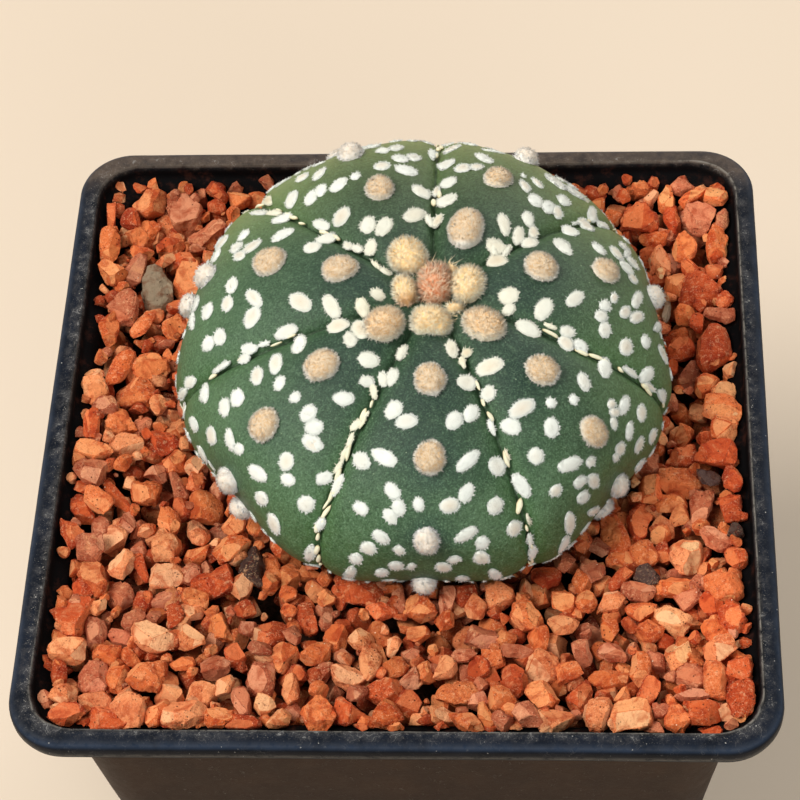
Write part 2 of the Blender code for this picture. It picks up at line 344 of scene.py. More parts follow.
def across_rib(az, el):
    """-1 at one groove, 0 down the rib's middle, 1 at the next, and the rib's
    angular width."""
    t = np.maximum(np.sin(el), 0.0)
    g = np.sort((GROOVES + TWISTS * t[..., None]) % TAU, axis=-1)
    edges = np.concatenate([g[..., -1:] - TAU, g, g[..., :1] + TAU], -1)
    az = az % TAU
    k = np.clip((edges <= az[..., None]).sum(-1) - 1, 0, 7)
    lo = np.take_along_axis(edges, k[..., None], -1)[..., 0]
    hi = np.take_along_axis(edges, k[..., None] + 1, -1)[..., 0]
    return 2 * (az - lo) / (hi - lo) - 1, hi - lo


def skin(az, el, grow=0.0, grooves=True, most=9.0):
    """Points of the cactus's skin, in millimetres, the same as the CAD's; most
    limits how deep the grooves go."""
    az, el = np.broadcast_arrays(np.asarray(az, float), np.asarray(el, float))
    r = RADIUS * (1 + sum(a * np.cos(k * az) + b * np.sin(k * az)
                          for k, a, b in LOBE))
    u, width = across_rib(az, el)
    top = np.maximum(np.sin(el), 0.0)
    swell = CORNER_SWELL * (1 - top) + CROWN_SWELL * top
    r = r * (1 - swell * np.cos(np.pi * u))
    rho = r * np.maximum(np.cos(el), 0.0) ** DOME_POWER
    rise = np.abs(np.sin(el)) ** DOME_POWER
    off = (1 - np.abs(u)) * width / 2 * rho
    depth = 0.0
    if grooves:
        depth = GROOVE_DEPTH * np.exp(-off / GROOVE_WIDTH)
        # a narrow crease in the bottom of the valley
        depth = depth + 0.22 * np.exp(-(off / 0.34) ** 2)
        # the valley is wider on the upper half of the back ribs
        depth = depth + 0.30 * np.exp(-(off / 3.6) ** 2) * top
        depth = np.minimum(depth * np.minimum(1.0, rho / 9.0), most)
    z = np.where(el > 0, DOME_H, -BELLY_H) * rise
    rho = rho + (grow - depth) * np.cos(el)
    z = z + (grow - depth) * np.sin(el)
    z = z - np.where(el > 0, CROWN_DIP * np.exp(-(rho / 7.0) ** 2), 0.0)
    s = top * top
    return np.stack([MID_X + CROWN_SHIFT[0] * s + rho * np.cos(az),
                     MID_Y + CROWN_SHIFT[1] * s + rho * np.sin(az),
                     MID_Z + z], -1), off


PER_RIB, ROWS, LOW = 42, 140, math.radians(-72)
level = np.linspace(0, 1, ROWS + 1)
el = LOW + (math.pi / 2 - LOW) * (level ** 0.94)
t = np.arange(PER_RIB) / PER_RIB
t = 0.62 * (0.5 - 0.5 * np.cos(np.pi * t)) + 0.38 * t
top = np.maximum(np.sin(el), 0.0)
edge = GROOVES[None] + TWISTS[None] * top[:, None]
edge = np.concatenate([edge, edge[:, :1] + TAU], 1)
az = (edge[:, :-1, None] + (edge[:, 1:] - edge[:, :-1])[:, :, None] * t).reshape(ROWS + 1, -1)
COLS = az.shape[1]
el_grid = np.repeat(el[:, None], COLS, 1)
pts, off = skin(az + 1e-6, el_grid)
# unevenness of a living plant: broad lumps and faint puckers beside the creases
flat = pts.reshape(-1, 3)
lump = np.array([noise.noise(Vector(p) / 5.5) * 0.16
                 + noise.noise(Vector(p) / 1.9 + Vector((7, 3, 1))) * 0.045
                 for p in flat]).reshape(pts.shape[:2])
pucker = np.array([noise.noise(Vector((p[0] / 1.3, p[1] / 1.3, p[2] / 0.8)))
                   for p in flat]).reshape(pts.shape[:2])
lump = lump + pucker * 0.16 * np.exp(-off / 1.0)
mid = np.array((MID_X, MID_Y, MID_Z - 6.0))
over = skin(az + 1e-6, el_grid, most=0.95)[0]
over = over + unit(over - mid) * lump[..., None]
over[-1] = over[-1].mean(0)
pts = pts + unit(pts - mid) * lump[..., None]
pts[-1] = pts[-1].mean(0)
body_v = np.concatenate([pts[:-1].reshape(-1, 3), pts[-1:, 0], pts[0].mean(0)[None]])
faces = []
for j in range(ROWS - 1):
    a = j * COLS + np.arange(COLS)
    b = j * COLS + (np.arange(COLS) + 1) % COLS
    faces += np.stack([a, b, b + COLS, a + COLS], 1).tolist()
last = (ROWS - 1) * COLS
tip_i, foot_i = ROWS * COLS, ROWS * COLS + 1
faces += [[last + i, last + (i + 1) % COLS, tip_i] for i in range(COLS)]
faces += [[(i + 1) % COLS, i, foot_i] for i in range(COLS)]
SKIN_TREE = BVHTree.FromPolygons(body_v.tolist(), faces, epsilon=0.0)
# the skin as felt lies on it, bridging the bottoms of the creases
over = np.concatenate([over[:-1].reshape(-1, 3), over[-1:, 0], over[0].mean(0)[None]])
OVER_TREE = BVHTree.FromPolygons(over.tolist(), faces, epsilon=0.0)


def meet(px, py, towards=(427, 372)):
    """Where the sight line of a pixel meets the skin: point and outward normal.
    A pixel just outside the outline is moved in until it does."""
    for k in range(24):
        s = k * 0.6 / max(1.0, math.hypot(px - towards[0], py - towards[1]))
        x, y = px + (towards[0] - px) * s, py + (towards[1] - py) * s
        d = sight(x, y)
        hit, n, _, _ = OVER_TREE.ray_cast(Vector(EYE), Vector(d))
        if hit is not None:
            break
    # the normal is smoothed over a small patch
    near = [OVER_TREE.find_nearest(hit + Vector(o)) for o in
            ((0.8, 0, 0), (-0.8, 0, 0), (0, 0.8, 0), (0, -0.8, 0), (0, 0, 0.8), (0, 0, -0.8))]
    m = sum((q[1] for q in near), Vector()) + n * 2
    return np.array(hit), np.array(m.normalized())


def settle(p, n, lift):
    """Point p, beside the skin, moved along n to lift millimetres above it."""
    v, w = Vector(p), Vector(n)
    hit, _, _, _ = OVER_TREE.ray_cast(v + w * 3.0, -w, 7.0)
    if hit is None:
        hit = OVER_TREE.find_nearest(v)[0]
    return np.array(hit) + np.asarray(n) * lift


# areoles: x, y in the photograph, radius across, radius down the rib, height in
# millimetres, and the felt's age: y young cream, t tan, o old and grey; then what
# its outer end is: flat, rust-brown or pale
AREOLES = [(*map(float, r.split()[:5]), r.split()[5], (r.split() + [""])[6]) for r in """
408 257 2.85 3.20 2.1 y
380 190 2.25 2.75 1.7 t
351 156 2.10 2.30 1.9 o
405 293 1.95 2.80 2.2 y rust
340 270 2.85 2.35 1.7 t
270 263 2.75 2.60 1.6 t
208 277 2.00 2.20 1.9 o
190 306 1.90 2.10 1.8 o
384 325 2.75 3.25 1.9 m
322 366 2.45 2.75 1.6 t
265 425 2.30 2.65 1.6 t
230 480 2.00 2.40 1.8 o
235 512 1.90 2.00 2.0 o
431 323 3.10 2.80 2.2 y flat
430 380 2.35 2.60 1.6 t
430 458 2.25 2.55 1.6 t
427 540 1.95 2.25 1.6 o
424 580 1.95 2.10 2.0 o
484 325 2.90 3.45 1.8 m
542 371 2.35 2.65 1.6 t
593 432 2.05 2.50 1.6 t
617 484 1.75 2.20 1.7 o
468 285 3.20 2.75 2.1 y
541 268 2.75 2.45 1.7 t
605 272 2.25 2.25 1.6 t
655 297 1.85 2.05 1.8 o
466 229 2.65 3.70 1.7 t pale
498 180 2.25 2.40 1.7 t
526 159 2.00 2.10 1.9 o
""".strip().splitlines()]
# the unseen ones: azimuth and elevation in degrees
HIDDEN_AREOLES = [(63, 3), (64, -16), (112, 10), (113, -8), (12, -10), (14, -26), (166, -22),
                  (222, -28), (320, -22), (272, -30)]
areoles = []
for x, y, ra, rb, h, age, end in AREOLES:
    p, n = meet(x, y)
    areoles.append((p, n, ra, rb, h, age, end))
for a, e in HIDDEN_AREOLES:
    p = skin(math.radians(a), math.radians(e), 0.0, False)[0]
    q, n, _, _ = SKIN_TREE.find_nearest(Vector(p))
    areoles.append((np.array(q), np.array(n), 2.0, 2.2, 1.8, "o", ""))
CROWN_P, CROWN_N = meet(435, 285)

# where each point of the skin lies, for its material: r nearness of a crease,
# g nearness of an areole, b height up the dome
spots = np.array([a[0] for a in areoles])
near = np.full(len(body_v), 1e9)
for s in spots:
    near = np.minimum(near, np.linalg.norm(body_v - s, axis=1))
zones = np.ones((len(body_v), 3))
o = np.concatenate([off[:-1].reshape(-1), [0.0, 0.0]])
rr = np.hypot(body_v[:, 0] - MID_X - CROWN_SHIFT[0], body_v[:, 1] - MID_Y - CROWN_SHIFT[1])
zones[:, 0] = np.exp(-o / 1.6)
zones[:, 1] = np.exp(-np.maximum(near - 2.2, 0) / 2.4)
zones[:, 2] = np.clip((body_v[:, 2] - 80) / 32, 0, 1)


def skin_look():
    k = Look("cactus_skin", rough=0.50, spec=0.30)
    z = k.t.nodes.new("ShaderNodeSeparateColor")
    k.link(k.attr("zones"), z.inputs[0])
    crease, halo, high = z.outputs
    broad = k.noise(9.0, 3, 0.55)
    patch = k.noise(2.6, 3, 0.6, warp=0.4)
    fine = k.noise(0.62, 3, 0.65)
    # the grain of the leathery skin: short strokes, light on dark
    stroke = k.noise(0.25, 2, 0.70, warp=0.9)
    grain = k.noise(0.12, 2, 0.6)
    base = k.mix(k.step(broad, 0.33, 0.68), srgb(58, 87, 56), srgb(76, 105, 69))
    base = k.mix(k.step(patch, 0.35, 0.75, 0.0, 0.55), base, srgb(84, 112, 80))
    # low down the ribs the skin is painted a brighter, yellower green: painted light
    low = k.step(high, 0.80, 0.25, 0.0, 0.60)
    base = k.mix(low, base, srgb(64, 102, 50))
    # near the areoles and the crown it is darker and bluish
    cool = k.math("MULTIPLY", halo, k.step(patch, 0.2, 0.8, 0.6, 1.0))
    base = k.mix(k.math("MULTIPLY", cool, 0.80), base, srgb(38, 64, 58))
    base = k.mix(k.step(high, 0.66, 0.97, 0.0, 0.84), base, srgb(28, 50, 42))
    # the ribs at the back are painted olive, most so towards their outer ends: a painted reflection of the warm
    # surroundings
    x, y, up = k.split()
    far = k.math("MULTIPLY", k.step(y, 8.0, 34.0), k.step(high, 0.95, 0.60, 0.15, 0.85))
    base = k.mix(far, base, srgb(143, 151, 85))
    # and those at the sides are painted a lighter green: painted light
    base = k.mix(k.step(x, 16.0, 36.0, 0.0, 0.46), base, srgb(101, 122, 70))
    base = k.mix(k.step(x, -3.0, -22.0, 0.0, 0.27), base, srgb(98, 130, 88))
    # the flanks of the creases are greener, most so low down, their bottoms painted dark: painted shade
    flank = k.math("MULTIPLY", k.step(crease, 0.10, 0.55), k.step(high, 0.95, 0.45, 0.20, 0.60))
    base = k.mix(flank, base, srgb(60, 100, 46))
    base = k.mix(k.step(crease, 0.80, 1.0, 0.0, 0.75), base, srgb(36, 56, 32))
    # waxy mottling: painted highlights on the grain's crests and painted shade in its furrows, on the strokes
    # that also bump the skin
    light = k.math("MULTIPLY", k.step(stroke, 0.50, 0.68, 0.0, 0.52), k.step(high, 1.0, 0.6, 0.5, 1.0))
    base = k.mix(light, base, srgb(124, 158, 122))
    base = k.mix(k.step(stroke, 0.50, 0.32, 0.0, 0.50), base, srgb(20, 40, 22))
    base = k.mix(k.step(fine, 0.52, 0.75, 0.0, 0.28), base, srgb(116, 142, 108))
    base = k.mix(k.step(fine, 0.47, 0.28, 0.0, 0.34), base, srgb(30, 52, 34))
    prick = k.cells(0.8)
    chosen = k.step(k.noise(1.1, 1), 0.58, 0.64)
    dots = k.math("MULTIPLY", k.step(prick, 0.13, 0.06), chosen)
    base = k.mix(k.math("MULTIPLY", dots, 0.6), base, srgb(180, 200, 160))
    k.colour(base)
    k.rough(k.step(fine, 0.2, 0.8, 0.42, 0.56))
    k.bump(grain, 0.03)
    k.bump(stroke, 0.08)
    k.bump(patch, 0.15)
    return k.mat


SKIN = skin_look()
body = make_object("cactus_body", body_v, faces, SKIN)
paint(body, "zones", zones)
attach(body, "root")
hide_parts("cactus")

# ============================================================ felt and flecks
def felt_look(name, rough=0.9, bump=0.05, dark=0.2):
    k = Look(name, rough=rough, spec=0.1)
    tint = k.attr("tint")
    fine = k.noise(0.28, 2, 0.6)
    c = k.mix(k.step(fine, 0.58, 0.34, 0.0, dark), tint, srgb(226, 184, 142), "MULTIPLY")
    k.colour(c)
    k.b.inputs["Sheen Weight"].default_value = 0.15
    k.b.inputs["Sheen Roughness"].default_value = 0.5
    k.bump(k.noise(0.16, 2, 0.6), bump)
    return k.mat


FELT = felt_look("areole_felt", dark=0.06)
FLECK = felt_look("white_flecks", bump=0.04, dark=0.0)

# the felt's colours: deep and tip in the middle, deep and tip at the edge, and
# its fibres: how many to the square millimetre, lengths, widths, how loose, and
# the lengths of the edge's fringe
AGES = {
    "t": ((213, 175, 128), (238, 229, 208), (236, 222, 196), (245, 240, 227)),
    "y": ((244, 198, 126), (254, 247, 221), (248, 228, 182), (254, 249, 229)),
    "m": ((226, 178, 120), (248, 235, 208), (241, 221, 182), (252, 245, 228)),
    "o": ((234, 216, 192), (250, 247, 240), (246, 240, 228), (251, 249, 245)),
    "r": ((214, 114, 54), (254, 234, 200), (216, 120, 68), (251, 214, 180)),
}
NAP = {
    "t": (38, (0.28, 0.50), (0.100, 0.150), 0.40, (0.34, 0.62)),
    "y": (40, (0.42, 0.80), (0.100, 0.150), 0.46, (0.45, 0.85)),
    "m": (40, (0.40, 0.72), (0.100, 0.150), 0.44, (0.45, 0.80)),
    "o": (36, (0.30, 0.52), (0.100, 0.150), 0.44, (0.36, 0.66)),
    "r": (44, (0.60, 1.20), (0.120, 0.180), 0.66, (0.50, 1.00)),
}


def lin(c):
    return np.array(srgb(*c)[:3])


class Patches:
    """Collects small closed-over shapes given as rings of points."""

    def __init__(self):
        self.v, self.f, self.c, self.n = [], [], [], 0

    def add(self, rings, cap, colour):
        """rings from the outside in, each the same count; cap is the middle."""
        m = len(rings[0])
        pts = np.concatenate([np.concatenate(rings), cap[None]])
        k = self.n
        i = np.arange(m)
        j = (i + 1) % m
        for r in range(len(rings) - 1):
            a = k + r * m
            self.f += np.stack([a + i, a + j, a + m + j, a + m + i], 1).tolist()
        a = k + (len(rings) - 1) * m
        self.f += np.stack([a + i, a + j, np.full(m, k + len(rings) * m)], 1).tolist()
        self.f.append((k + i[::-1]).tolist())
        self.v.append(pts)
        c = np.broadcast_to(colour, (len(pts), 3))
        self.c.append(c)
        self.n += len(pts)

    def build(self, name, mat):
        ob = make_object(name, np.concatenate(self.v), self.f, mat)
        paint(ob, "tint", np.concatenate(self.c))
        return ob


def wobble(rng, theta, size, waves=(2, 3, 5, 7)):
    return 1 + size * sum(rng.normal() / k ** 0.5 * np.cos(k * theta + rng.uniform(0, TAU))
                          for k in waves)


def felt_cushion(p, n, ra, rb, h, age, rng, domes, blades, towards=None,
                 square=2.0, flat=0.0, rust=0.0, crescent=0.0):
    """One felted cushion: a plump dome under a velvet of short fibres and a pale
    fringe. square makes its outline boxy, flat cuts its outer end, rust browns the
    outer end and crescent whitens it, or the other end if it is negative."""
    deep, tip, edge_deep, edge_tip = (lin(c) for c in AGES[age])
    dense, lengths, widths, loose, hem = NAP[age]
    if towards is not None:
        b = -unit(towards - n * (towards @ n))
        a = np.cross(b, n)
    else:
        a = unit(np.cross((0.0, 0.0, 1.0), n))
        b = np.cross(n, a)
    m = 36
    theta = np.arange(m) / m * TAU
    wob = wobble(rng, theta, 0.028)
    ct, st = np.cos(theta), np.sin(theta)
    wob = wob / (np.abs(ct) ** square + np.abs(st) ** square) ** (1 / square)
    # the outer end (towards +b) may be cut off square
    if flat:
        wob = np.where(st > 0, np.minimum(wob, (1 - flat) / np.maximum(st, 1e-3)), wob)
    ra, rb = ra - 0.8 * np.mean(hem), rb - 0.8 * np.mean(hem)
    top = h - 0.5 * np.mean(lengths)

    def edge_at(phi):
        return np.interp(phi, np.append(theta, TAU), np.append(wob, wob[0]))

    def tone(side, rim, along):
        """Colours of a part of the cushion: side 0 deep, 1 tip; along is how far
        out it lies towards the outer end."""
        outer = np.clip((along - 0.15) / 0.6, 0, 1)
        c = (deep + (tip - deep) * side) * (1 - rim) + (edge_deep + (edge_tip - edge_deep) * side) * rim
        if rust:
            c = c * (1 - outer * rust) + lin((196, 128, 70)) * outer * rust
        if crescent:
            far = np.clip((along * np.sign(crescent) - 0.80) / 0.14, 0, 1) * abs(crescent)
            c = c * (1 - far) + edge_tip * far
        return c

    rings, tints = [], []
    lats = (-0.4, 0.0, 0.14, 0.28, 0.40, 0.50, 0.60, 0.69, 0.77, 0.84, 0.90, 0.95)
    for lat in lats:
        r = math.cos(lat * math.pi / 2) ** 0.8 if lat > 0 else 1.0
        z = math.sin(lat * math.pi / 2) ** 0.9 if lat > 0 else lat
        q = (p + (ct * wob * ra * r)[:, None] * a + (st * wob * rb * r)[:, None] * b
             + n * (top * z))
        if lat > 0:
            lump = np.array([noise.noise(Vector(v) / 0.55) * 0.10 + noise.noise(Vector(v) / 0.22) * 0.07
                             for v in q])
            q = q + lump[:, None] * unit((ct * r / ra)[:, None] * a + (st * r / rb)[:, None] * b + n * (z / top))
        rings.append(q)
        rim = min(1.0, max(0.0, (0.62 - z) / 0.62))
        tints.append(tone(rng.uniform(0.0, 0.55, (m, 1)), rim, (st * r)[:, None]))
    domes.add(rings, p + n * top * 1.01, np.concatenate(tints + [(deep + tip)[None] / 2]))
    count = int(dense * math.pi * ra * rb * 1.9)
    wz = rng.uniform(-0.28, 1.0, count)
    phi = rng.uniform(0, TAU, count)
    wr = np.sqrt(np.maximum(1 - wz ** 2, 0)) ** 0.8
    wob_at = edge_at(phi)
    wx, wy = wr * np.cos(phi), wr * np.sin(phi)
    q = (p + (wx * wob_at * ra * 0.97)[:, None] * a + (wy * wob_at * rb * 0.97)[:, None] * b
         + (np.where(wz > 0, np.abs(wz) ** 0.9, wz) * top * 0.96)[:, None] * n)
    up = unit((wx / ra)[:, None] * a + (wy / rb)[:, None] * b + (np.maximum(wz, 0.1) / top)[:, None] * n)
    # fibres stand out of the dome and lie over in groups
    sway = np.array([noise.noise_vector(Vector(v) / 0.8) for v in q]) if count else q
    way = unit(up + loose * wander(rng, count) + 1.6 * loose * sway)
    rim = np.clip((0.50 - wz) / 0.50, 0, 1)[:, None]
    outer = wy[:, None]
    light = rng.uniform(0.92, 1.05, (count, 1))
    side = np.where(rng.random((count, 1)) < 0.30 * (1 - rim), 0.30, rng.uniform(0.85, 1.0, (count, 1)))
    blades.add(q, way, rng.uniform(*lengths, count), rng.uniform(*widths, count),
               wander(rng, count) * 0.30, tone(side * 0.48, rim, outer) * light,
               np.minimum(tone(side, rim, outer) * light, 0.97), rng, up, soft=0.80)
    # the fringe: fine hairs in small tufts that break the outline
    groups = int(11 * (ra + rb))
    at = rng.uniform(0, TAU, groups)
    phi = (np.repeat(at, 4) + rng.normal(0, 0.045, groups * 4)) % TAU
    lean = np.repeat(wander(rng, groups) * 0.30, 4, axis=0)
    high = np.repeat(rng.uniform(0.0, 0.45, groups), 4)
    count = groups * 4
    c, s2 = np.cos(phi)[:, None], np.sin(phi)[:, None]
    w = edge_at(phi)[:, None] * (1 - 0.30 * high[:, None] ** 2)
    q = p + c * w * ra * 0.95 * a + s2 * w * rb * 0.95 * b
    # the hairs start where the cushion meets the skin, and a little above
    foot = np.array([settle(v, n, 0.04) for v in q])
    q = foot + (q - foot + n * top * 0.8) * high[:, None]
    out = unit(c * a / ra + s2 * b / rb)
    way = unit(out + (0.20 + 0.9 * high)[:, None] * n + lean + 0.16 * wander(rng, count))
    light = rng.uniform(0.94, 1.05, (count, 1))
    outer = s2
    blades.add(q, way, rng.uniform(*hem, count), rng.uniform(0.10, 0.14, count),
               wander(rng, count) * 0.22, tone(0.55, 1.0, outer) * light,
               np.minimum(tone(1.0, 1.0, outer) * light, 0.97), rng,
               unit(n + 0.6 * out), soft=0.85)


rng = np.random.default_rng(21)
domes, naps = Patches(), (Blades(), Blades())
AIMS = {"rust": (411, 312), "pale": (462, 250)}     # pixels their outer ends point at
for p, n, ra, rb, h, age, end in areoles:
    towards = CROWN_P - p if age in "ym" else None
    if end in AIMS:
        towards = p - meet(*AIMS[end])[0]
    felt_cushion(p, n, ra, rb, h, age, rng, domes, naps[int(p[0] > MID_X)],
                 towards=towards, flat=0.16 * (end == "flat"), rust=0.55 * (end == "rust"),
                 crescent=0.9 * (end == "pale") - 0.8 * (age == "t" and not end))
for ob in (domes.build("areole_cushions", FELT), naps[0].build("areole_nap_left", FELT),
           naps[1].build("areole_nap_right", FELT)):
    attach(ob, "root")

# the crown's middle: a boxy pad of rusty young wool, and the wool between lobes
domes, nap = Patches(), Blades()
felt_cushion(CROWN_P - CROWN_N * 0.1, CROWN_N, 2.70, 3.45, 2.3, "r", rng, domes, nap,
             towards=np.array((0.0, 1.0, 0.0)), square=2.6)
for x, y, r, s, h, age in ((424, 270, 1.1, 1.2, 1.3, "y"), (452, 270, 1.0, 1.2, 1.2, "y"),
                           (455, 309, 1.6, 1.2, 1.1, "y"), (414, 300, 1.0, 1.0, 1.4, "y")):
    q, m = meet(x, y)
    felt_cushion(q, m, r, s, h, age, rng, domes, nap)
# long loose hairs where two lobes part
for x, y, count in ((455, 316, 26), (450, 268, 16), (427, 266, 12), (462, 308, 14)):
    q, m = meet(x, y)
    base = q + wander(rng, count) * 0.7 + m * 0.3
    nap.add(base, unit(m + 1.1 * wander(rng, count)), rng.uniform(0.9, 1.8, count),
            rng.uniform(0.08, 0.12, count), wander(rng, count) * 0.5, lin((226, 200, 150)),
            lin((250, 238, 206)), rng, m)
for ob in (domes.build("crown_cushions", FELT), nap.build("crown_wool", FELT)):
    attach(ob, "root")

